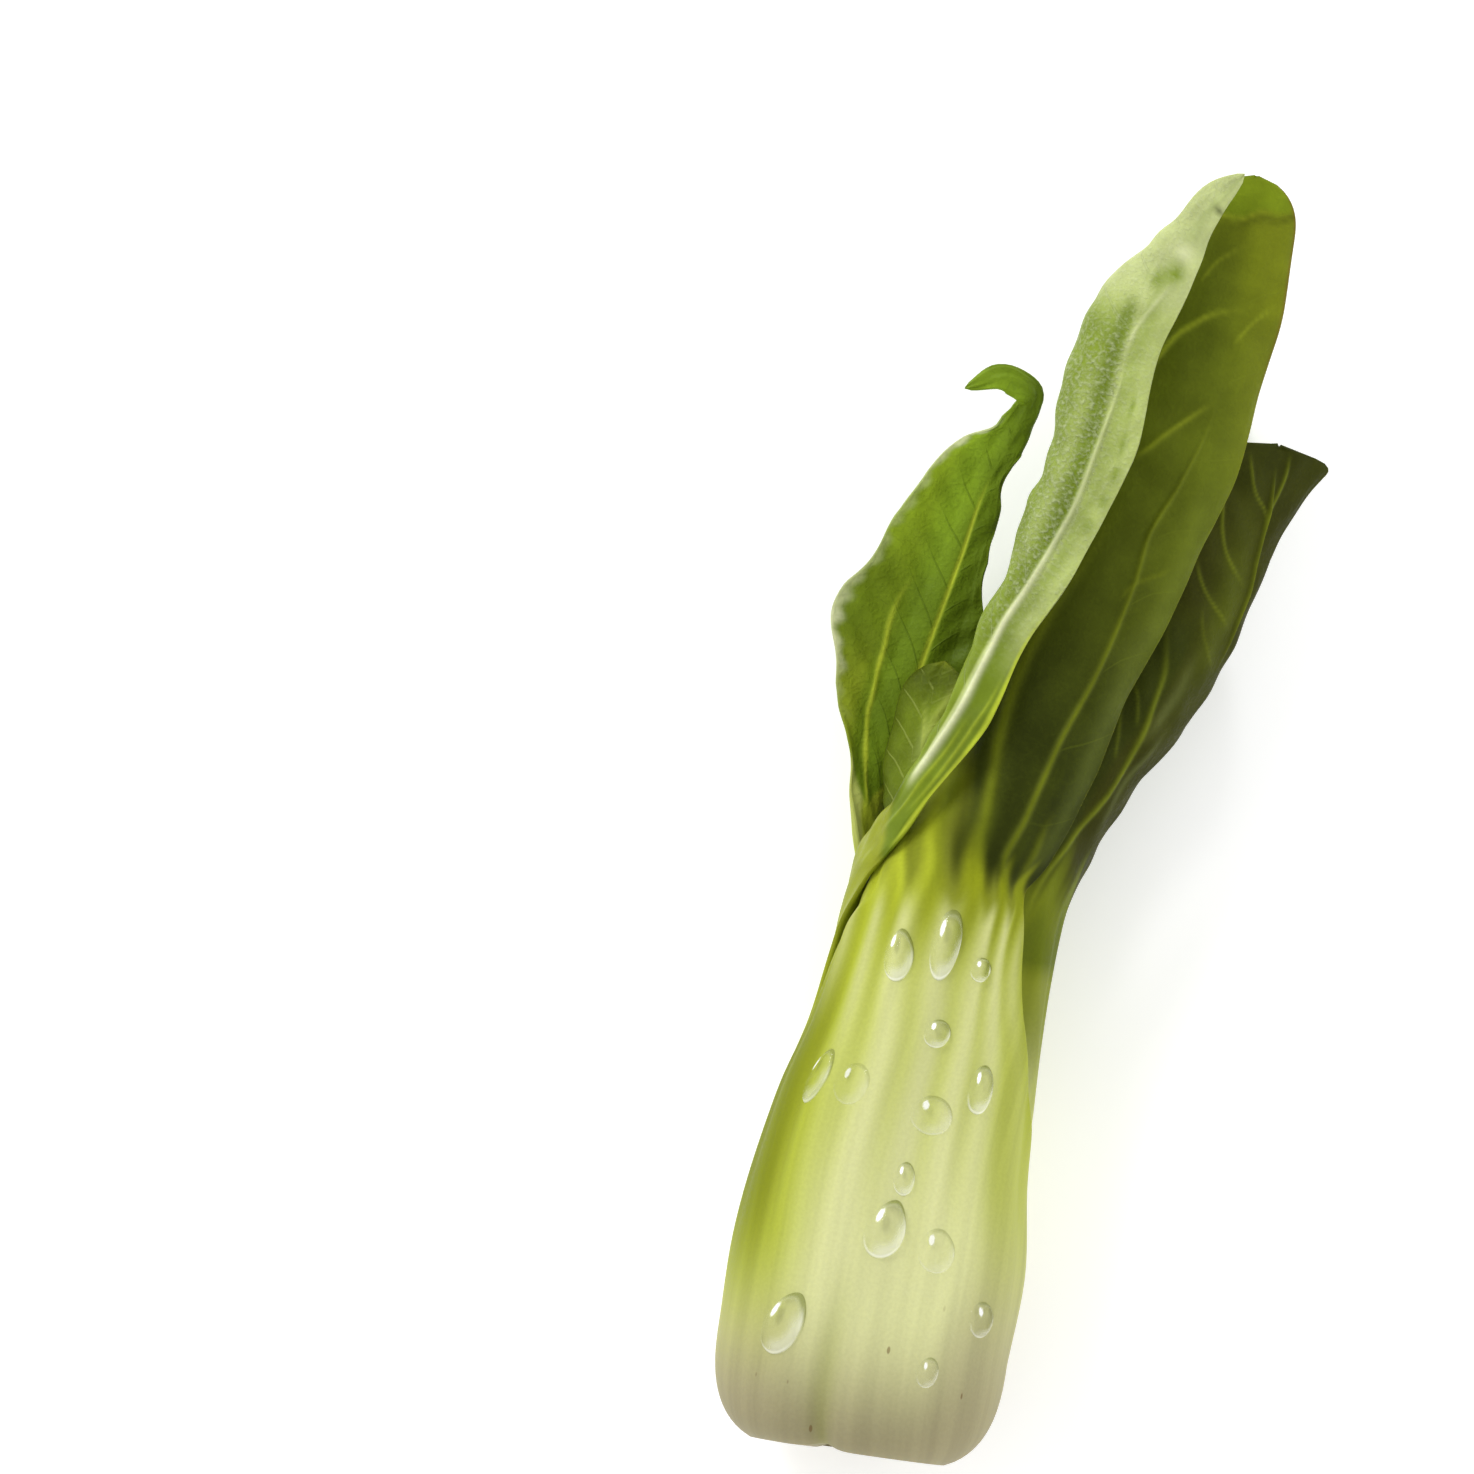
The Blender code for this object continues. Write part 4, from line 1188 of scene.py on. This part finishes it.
def build_leaf(index, sizes, colours):
    """A leaf: the shell of its sheet's two faces, with the fields that its material reads. They are its
    tint, the place on the sheet, the side veins' phase, width and strength, and three zones: the blade, the
    root end, and where the net and the wrinkles show."""
    sheet = Sheet(index, sizes)
    leaf, look, along, t = sheet.leaf, sheet.look, sheet.along, sheet.t
    rings = wrapped(sheet.outer, sheet.inner)
    material = leaf_material(leaf.name + "_finish", FINISHES.get(leaf.name, Finish()))
    obj = add_piece(leaf.name + "_surface", rings, shell_faces(*rings.shape[:2]), material)

    tint = TINTS.get(leaf.name, plain_tint)(sheet, colours)
    shows_inner_face = leaf.name == "left_leaf"
    greener = 0.0 if shows_inner_face else INNER_GREEN
    tint = wrapped(tint, over(tint, colours.leaf, greener * sheet.blade))
    write_field(obj, "tint", np.concatenate([tint, np.ones((*tint.shape[:2], 1))], axis=2))

    place = np.stack([sheet.across, along, np.full_like(t, APART * sheet.seed)], -1)
    write_field(obj, "sheet", wrapped(place, place + (0, 0, FACES_APART)))

    away = np.abs(t)
    strength = sheet.blade * ramp(along, 6, 16) * fall(away, *look.vein_reach)
    strength = strength * ramp(np.abs(sheet.off_line(look.midrib_path)), 0.3, 1.2)
    strength = strength * np.where(t < 0, *look.vein_sides)
    width = (VEIN_WIDTH - VEIN_TAPER * away) / look.laterals[0]
    veins = np.stack([sheet.phase, width, strength], -1)
    write_field(obj, "veins", wrapped(veins, veins))

    net = ramp(along, 4, 14)
    if leaf.name == "crossing_leaf":  # wrinkled on the left of its midrib, above its wing
        # the pale net and wrinkles there are painted glints as well as relief
        net = ramp(along, 36, 56) * (1 - 0.5 * ramp(t, 0, 0.2)) * (1 - 0.5 * ramp(along, 90, 100))
    net = net * (1 - np.clip(sheet.midrib, 0, 1))
    zones = np.stack([ramp(along, -6, 6), fall(sheet.y, 14, 30), net], -1)
    write_field(obj, "zones", wrapped(zones, zones))

    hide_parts(leaf.name)


STEM_RIM = 0.9  # how far the cut's middle stands out past its rim
STEM_COLUMNS, CUT_RINGS, SIDE_RINGS = 72, 14, 30


def build_stem(colours):
    """The stem: rings from the middle of the cut end over its rounded rim, up the side and over the dome. The
    cut is slightly domed and torn."""
    turn = np.linspace(0, 2 * np.pi, STEM_COLUMNS, endpoint=False)[None, :]
    inward = np.linspace(0.04, 1, CUT_RINGS)[:, None]
    cut_y = STEM_FOOT + STEM_RIM * inward**4 - 0.15 * np.cos(5 * turn + 4 * inward) * inward * (1 - inward)
    cut_y = cut_y + 0.12 * uneven(9 * inward * np.cos(turn), 9 * inward * np.sin(turn), 4) * (1 - inward**6)
    rise = np.sin(np.linspace(0.08, np.pi / 2, SIDE_RINGS))[:, None]
    side_y = STEM_FOOT + STEM_RIM + (STEM_LAST_RING - STEM_FOOT - STEM_RIM) * rise + 0 * turn
    y = np.concatenate([cut_y, side_y])
    radius = np.concatenate([STEM_RADIUS * inward * (1 + 0 * turn), stem_radius(side_y)])
    radius = radius * (1 + 0.015 * np.cos(7 * turn) * ramp(y, 3, 6))
    centre, _ = envelope(y, np.zeros_like(y))
    centre[..., 1] = y
    rings = centre + facing(np.degrees(turn + 0 * y)) * radius[..., None]
    obj = add_piece("stem_surface", rings, shell_faces(*y.shape), stem_material(colours))
    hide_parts("stem")


# Water drops on the front stalk: height, angle around the head, width, length, how pointed the top is, how
# many degrees it leans to the right, and how full the drop is.
DROPS = [
    (75.9, -24, 4.8, 8.2, 0.25, -8, 1.0),
    (78.4, 0, 4.4, 11.0, -0.1, 0, 1.0),
    (75.5, 22, 3.5, 3.8, 0.0, 0, 1.0),
    (65.1, 6, 4.2, 4.4, 0.0, 0, 1.0),
    (57.7, 35, 4.2, 7.6, 0.1, 0, 1.0),
    (56.2, -49, 4.6, 9.0, 0.2, 14, 0.6),
    (55.8, -29, 5.8, 6.6, 0.0, 0, 0.25),
    (52.9, 13, 6.8, 6.0, 0.1, 20, 0.45),
    (42.9, 6, 3.4, 5.2, 0.1, 0, 0.9),
    (35.1, 1, 6.6, 9.4, 0.35, 16, 1.0),
    (32.9, 24, 6.4, 6.9, 0.1, 0, 0.4),
    (18.9, -36, 7.2, 10.4, 0.3, 24, 0.8),
    (23.6, 51, 5.2, 5.6, 0.0, -20, 0.7),
    (14.7, 29, 3.8, 4.8, 0.1, 10, 0.6),
]
DROP_POINTS, DROP_RINGS = 48, 24
DROP_HEIGHT = 0.32  # share of a full drop's width
DROP_ROUNDNESS = 0.62
DROP_SINK = 0.06  # how far a drop's rim lies below the stalk's surface
DROP_BOTTOM = 0.11  # how far its underside lies below that surface
# a drop's body colour, and the colours of its painted shade and painted light
DROP_BODY, DROP_SHADE_PAINT, DROP_LIGHT = (0.80, 0.84, 0.55), (0.24, 0.27, 0.06), (0.97, 0.98, 0.84)
GLINT = (1, 1, 1)


def stalk_surface(index, y, angle, sizes):
    """The outer face of a stalk with its flutes, and its normal, from differences over half a millimetre."""
    leaf, step = LEAVES[index], 0.5
    look = LOOKS[leaf.name]

    def surface(height, around):
        middle = stalk_at(leaf, height)[0]
        point = packed(index, height, around, False)
        valley = sizes.fluting * flute_relief(look, height, flute_phase(look, height, around, middle))
        return point + facing(around) * valley[..., None]

    across = surface(y, angle + step) - surface(y, angle - step)
    up = surface(y + step, angle) - surface(y - step, angle)
    normal = np.cross(across, up)
    return surface(y, angle), normal / np.linalg.norm(normal, axis=-1)[..., None]


def drop_shape(index, drop, sizes):
    """A drop: rings from its top to its rim and back under it, with its tint and how much that covers. Its
    outline is an ellipse drawn in towards a point above, and its height falls from the middle to the rim as a
    power of one less the radius squared. Its tint paints what a drop does to the light: painted light where
    it gathers light at its lower right, with a bright rim along its lower edge, painted shade in a dark line
    at its upper right, where it bends the light away, and a small painted highlight at its upper left."""
    y, angle, width, length, point, lean, full = drop
    turn = np.linspace(0, 2 * np.pi, DROP_POINTS, endpoint=False)[None, :]
    out = np.sin(np.linspace(0.03, np.pi / 2, DROP_RINGS))[:, None]
    pinch = 1 - point * (0.5 + 0.5 * np.sin(turn)) ** 2
    tilt = np.radians(lean)
    wide, high = 0.5 * width * out * np.cos(turn) * pinch, 0.5 * length * out * np.sin(turn)
    right, up = wide * np.cos(tilt) + high * np.sin(tilt), high * np.cos(tilt) - wide * np.sin(tilt)
    here, _ = stalk_surface(index, np.float64(y), np.float64(angle), sizes)
    centre, _ = envelope(np.float64(y), np.float64(angle))
    per_degree = np.radians(np.linalg.norm(here - centre))
    base, normal = stalk_surface(index, y + up, angle + right / per_degree, sizes)
    height = DROP_HEIGHT * full * width * (1 - out**2) ** DROP_ROUNDNESS - DROP_SINK + 0 * turn
    rings = np.concatenate([base + normal * height[..., None], (base - normal * DROP_BOTTOM)[::-1]])

    way, radius = turn - tilt, out + 0 * turn
    # painted shade along the upper right, painted light inside the lower right, a painted bright rim along
    # the lower edge and a painted highlight at the upper left
    dark = ramp(radius, 0.72, 0.92) * ramp(np.cos(way - np.radians(55)), 0.0, 0.8)
    light = ramp(radius, 0.3, 0.75) * fall(radius, 0.88, 1) * ramp(np.cos(way + np.radians(50)), 0.0, 0.9)
    rim = bell(radius, 0.93, 0.05) * ramp(np.cos(way + np.radians(100)), 0.2, 0.9)
    u, v = out * np.cos(way), out * np.sin(way)
    glint = ramp(1 - ((u + 0.42) / 0.16) ** 2 - ((v - 0.45) / 0.28) ** 2, 0, 0.5)
    body = np.broadcast_to(np.array(DROP_BODY), (*radius.shape, 3))
    tint = over(over(over(body, DROP_SHADE_PAINT, dark), DROP_LIGHT, light + rim), GLINT, glint)
    cover = full * (0.05 + 0.62 * dark + 0.4 * light + 0.5 * rim) + (0.4 + 0.6 * full) * glint
    tint = np.concatenate([tint, np.clip(cover, 0, 1)[..., None]], axis=2)
    return rings, np.concatenate([tint, tint[::-1]])


def build_drops(sizes):
    """All the drops, in one mesh."""
    index = [leaf.name for leaf in LEAVES].index("front_leaf")
    rings, tint = (np.stack(fields) for fields in zip(*(drop_shape(index, drop, sizes) for drop in DROPS)))
    count, rows, size = rings.shape[:3]
    faces = shell_faces(rows, size)[:, ::-1] + np.arange(count)[:, None, None] * rows * size
    obj = add_piece("water_drops", rings, faces.reshape(-1, 4), water_material())
    write_field(obj, "tint", tint)


# ---------------------------------------------------------------- stage


VIEW_MIDDLE = (-45.05, 4.4)  # the point under the camera, in millimetres from the part's origin
VIEW_WIDTH = 221.1
VIEW_TURN = 8.5  # degrees that the head leans to the right, seen by the camera
VIEW_LEVEL = 30.0  # the level above the floor at which the view has its width
LENS, SENSOR = 800.0, 36.0
CAMERA_REACH = 20.0
KEY_PLACE, KEY_SIZE = (-0.75, 0.85, 0.9), 0.5
FILL_PLACE, FILL_SIZE = (1.1, -0.2, 0.7), 0.9
WHITE = (1, 1, 1, 1)


def build_floor(stage):
    """A wide, plain floor at the level of the head's lowest point, which glows a little."""
    low, half = CAD_BOX[0].z, stage.floor / 2
    mesh = bpy.data.meshes.new("floor")
    corners = [(-half, -half, low), (half, -half, low), (half, half, low), (-half, half, low)]
    mesh.from_pydata(corners, [], [(0, 1, 2, 3)])
    tree = Tree(bpy.data.materials.new("floor_paint"))
    paint = (*stage.floor_colour, 1)
    tone = tree.fade(tree.noise(tree.node("TexCoord")["Object"], 3.0, 2.0), 0.3, 0.7, 0.985, 1.0)
    tree.finish({
        "Base Color": tree.mix(tone, (0, 0, 0, 1), paint),
        "Roughness": 0.9,
        "Specular IOR Level": 0.0,
        "Emission Color": paint,
        "Emission Strength": stage.glow,
    })
    mesh.materials.append(tree.owner)
    add_object("floor", mesh)


def build_world(stage):
    """Soft light from all round: bright near the horizon and dimmer overhead."""
    world = bpy.data.worlds.new("studio")
    bpy.context.scene.world = world
    tree = Tree(world, "Background")
    up = tree.parts(tree.node("TexCoord")["Generated"])["Z"]
    tree.finish({"Color": WHITE, "Strength": tree.fade(up, 0.35, 0.95, stage.horizon, stage.zenith)})


def add_softbox(name, place, size, power):
    """A square lamp that looks at the head."""
    lamp = bpy.data.lights.new(name, "AREA")
    lamp.size = size
    lamp.energy = power
    obj = add_object(name, lamp)
    obj.location = place
    obj.rotation_euler = (-Vector(place)).to_track_quat("-Z", "Y").to_euler()


def build_camera():
    """A long lens straight above the head, turned so that the head leans to the right."""
    camera = bpy.data.cameras.new("camera")
    camera.lens, camera.sensor_width, camera.clip_end = LENS, SENSOR, CAMERA_REACH
    turn = np.radians(VIEW_TURN)
    right, up = Vector((np.cos(turn), np.sin(turn), 0)), Vector((-np.sin(turn), np.cos(turn), 0))
    matrix = Matrix((right, up, Vector((0, 0, 1)))).transposed().to_4x4()
    matrix.translation = Vector((*VIEW_MIDDLE, VIEW_WIDTH * LENS / SENSOR + VIEW_LEVEL)) * MM
    obj = add_object("camera", camera)
    obj.matrix_world = matrix
    bpy.context.scene.camera = obj


# ---------------------------------------------------------------- add-on


def colour(name, description, value):
    """A colour that a user may change."""
    return bpy.props.FloatVectorProperty(
        name=name, description=description, default=value, size=3, min=0, max=1, subtype="COLOR"
    )


def amount(name, description, default, low=0, **kind):
    """A size or a strength that a user may change."""
    return bpy.props.FloatProperty(name=name, description=description, default=default, min=low, **kind)


class BokChoyColours(bpy.types.PropertyGroup):
    """The colours of stalks, blades and veins, and of the painted light and shade laid on them."""

    ivory: colour("Ivory", "The stalks' ridges", (0.66, 0.67, 0.34))
    lime: colour("Lime", "The stalks' valleys and their upper ends", (0.38, 0.43, 0.026))
    olive: colour("Olive", "The stalks' edges, and where they turn into blades", (0.215, 0.245, 0.008))
    root: colour("Root", "The root end", (0.29, 0.25, 0.145))
    # white is also the painted highlight on the crossing leaf's tip and the left leaf's margin
    white: colour("White rib", "The crossing leaf's midrib", (0.68, 0.71, 0.42))
    rib: colour("Rib", "Bright ribs and veins", (0.45, 0.53, 0.035))
    # deep green is also painted shade in gaps and folds
    deep: colour("Deep green", "The darkest blades", (0.032, 0.041, 0.003))
    bronze: colour("Bronze green", "The right leaf's blade", (0.038, 0.041, 0.003))
    moss: colour("Moss green", "The front leaf's blade", (0.115, 0.145, 0.008))
    leaf: colour("Leaf green", "Blades in the shade", (0.085, 0.130, 0.007))
    grass: colour("Grass green", "The left leaf's blade", (0.165, 0.255, 0.012))
    fresh: colour("Fresh green", "Young or thin blades", (0.17, 0.24, 0.009))
    # silver green is partly painted sheen on the crossing leaf, and painted sheen on the front, right and
    # young left leaves
    silver: colour("Silver green", "The crossing leaf's waxy blade", (0.39, 0.46, 0.14))
    rust: colour("Rust", "The front leaf's dry rim", (0.16, 0.09, 0.02))


class BokChoySizes(bpy.types.PropertyGroup):
    """How strongly the surfaces are modelled."""

    relief: amount("Relief", "How far ribs and swells stand out", 1.0, max=2)
    fluting: amount("Fluting", "Depth of the stalks' flutes", 1.0, max=2)
    ripple: amount("Ripple", "Height of the margins' waves", 1.0, max=2)
    edge: amount(
        "Edge", "Thickness of a blade at its margin", 0.35 * MM, 0.1 * MM, max=0.8 * MM, precision=5,
        subtype="DISTANCE", unit="LENGTH",
    )


class BokChoyStage(bpy.types.PropertyGroup):
    """The floor and the light."""

    floor: amount("Floor", "Width of the floor", 6.0, 1, subtype="DISTANCE", unit="LENGTH")
    floor_colour: colour("Floor colour", "Paint of the floor", (0.97, 0.97, 0.97))
    glow: amount("Glow", "Strength of the light that comes up through the floor", 0.3)
    horizon: amount("Horizon", "Strength of the light from the sides", 1.12)
    zenith: amount("Zenith", "Strength of the light from overhead", 0.56)
    key: amount("Key lamp", "Power of the lamp at the upper left", 9.0, unit="POWER")
    fill: amount("Fill lamp", "Power of the lamp at the right", 2.0, unit="POWER")


class LeafOperator:
    """Builds the leaves in names."""

    bl_options = {"REGISTER", "UNDO"}
    names = ()

    def execute(self, context):
        scene = context.scene
        for index, leaf in enumerate(LEAVES):
            if leaf.name in self.names:
                build_leaf(index, scene.bok_choy_sizes, scene.bok_choy_colours)
        return {"FINISHED"}


class BOKCHOY_OT_crossing_leaf(LeafOperator, bpy.types.Operator):
    """Adds the outermost leaf, whose white midrib crosses the front leaf"""

    bl_idname = "bokchoy.crossing_leaf"
    bl_label = "Crossing leaf"
    names = ("crossing_leaf",)


class BOKCHOY_OT_front_leaf(LeafOperator, bpy.types.Operator):
    """Adds the broad front stalk with its dark blade"""

    bl_idname = "bokchoy.front_leaf"
    bl_label = "Front leaf"
    names = ("front_leaf",)


class BOKCHOY_OT_right_leaf(LeafOperator, bpy.types.Operator):
    """Adds the leaf on the right"""

    bl_idname = "bokchoy.right_leaf"
    bl_label = "Right leaf"
    names = ("right_leaf",)


class BOKCHOY_OT_left_leaf(LeafOperator, bpy.types.Operator):
    """Adds the leaf on the left, with its curled tip"""

    bl_idname = "bokchoy.left_leaf"
    bl_label = "Left leaf"
    names = ("left_leaf",)


class BOKCHOY_OT_under_leaf(LeafOperator, bpy.types.Operator):
    """Adds the leaf that the head lies on"""

    bl_idname = "bokchoy.under_leaf"
    bl_label = "Under leaf"
    names = ("under_leaf",)


class BOKCHOY_OT_inner_leaves(LeafOperator, bpy.types.Operator):
    """Adds the second layer and the heart"""

    bl_idname = "bokchoy.inner_leaves"
    bl_label = "Inner leaves"
    names = tuple(leaf.name for leaf in LEAVES if leaf.name not in OUTER_NAMES)


class BOKCHOY_OT_stem(bpy.types.Operator):
    """Adds the stem with its cut end"""

    bl_idname = "bokchoy.stem"
    bl_label = "Stem"

    def execute(self, context):
        build_stem(context.scene.bok_choy_colours)
        return {"FINISHED"}


class BOKCHOY_OT_water_drops(bpy.types.Operator):
    """Adds water drops on the front stalk"""

    bl_idname = "bokchoy.water_drops"
    bl_label = "Water drops"

    def execute(self, context):
        build_drops(context.scene.bok_choy_sizes)
        return {"FINISHED"}


class BOKCHOY_OT_stage(bpy.types.Operator):
    """Adds the floor, the light and the camera"""

    bl_idname = "bokchoy.stage"
    bl_label = "Stage"

    def execute(self, context):
        stage = context.scene.bok_choy_stage
        build_floor(stage)
        build_world(stage)
        add_softbox("key_lamp", KEY_PLACE, KEY_SIZE, stage.key)
        add_softbox("fill_lamp", FILL_PLACE, FILL_SIZE, stage.fill)
        build_camera()
        context.scene.view_settings.view_transform = "Standard"
        return {"FINISHED"}


PIECES = (
    BOKCHOY_OT_crossing_leaf,
    BOKCHOY_OT_front_leaf,
    BOKCHOY_OT_right_leaf,
    BOKCHOY_OT_left_leaf,
    BOKCHOY_OT_under_leaf,
    BOKCHOY_OT_inner_leaves,
    BOKCHOY_OT_stem,
    BOKCHOY_OT_water_drops,
    BOKCHOY_OT_stage,
)
GROUPS = {
    "bok_choy_sizes": BokChoySizes,
    "bok_choy_colours": BokChoyColours,
    "bok_choy_stage": BokChoyStage,
}


class BOKCHOY_PT_panel(bpy.types.Panel):
    """Lists the pieces and their settings."""

    bl_label = "Bok choy"
    bl_idname = "BOKCHOY_PT_panel"
    bl_space_type = "VIEW_3D"
    bl_region_type = "UI"
    bl_category = "Bok choy"

    def draw(self, context):
        for piece in PIECES:
            self.layout.operator(piece.bl_idname)
        for name, group in GROUPS.items():
            column = self.layout.column()
            for key in group.__annotations__:
                column.prop(getattr(context.scene, name), key)


def register():
    for name, group in GROUPS.items():
        bpy.utils.register_class(group)
        setattr(bpy.types.Scene, name, bpy.props.PointerProperty(type=group))
    for cls in (*PIECES, BOKCHOY_PT_panel):
        bpy.utils.register_class(cls)


def unregister():
    for cls in (BOKCHOY_PT_panel, *reversed(PIECES)):
        bpy.utils.unregister_class(cls)
    for name, group in GROUPS.items():
        delattr(bpy.types.Scene, name)
        bpy.utils.unregister_class(group)


def main():
    register()
    for piece in PIECES:
        section, name = piece.bl_idname.split(".")
        getattr(getattr(bpy.ops, section), name)()


if __name__ == "__main__":
    main()
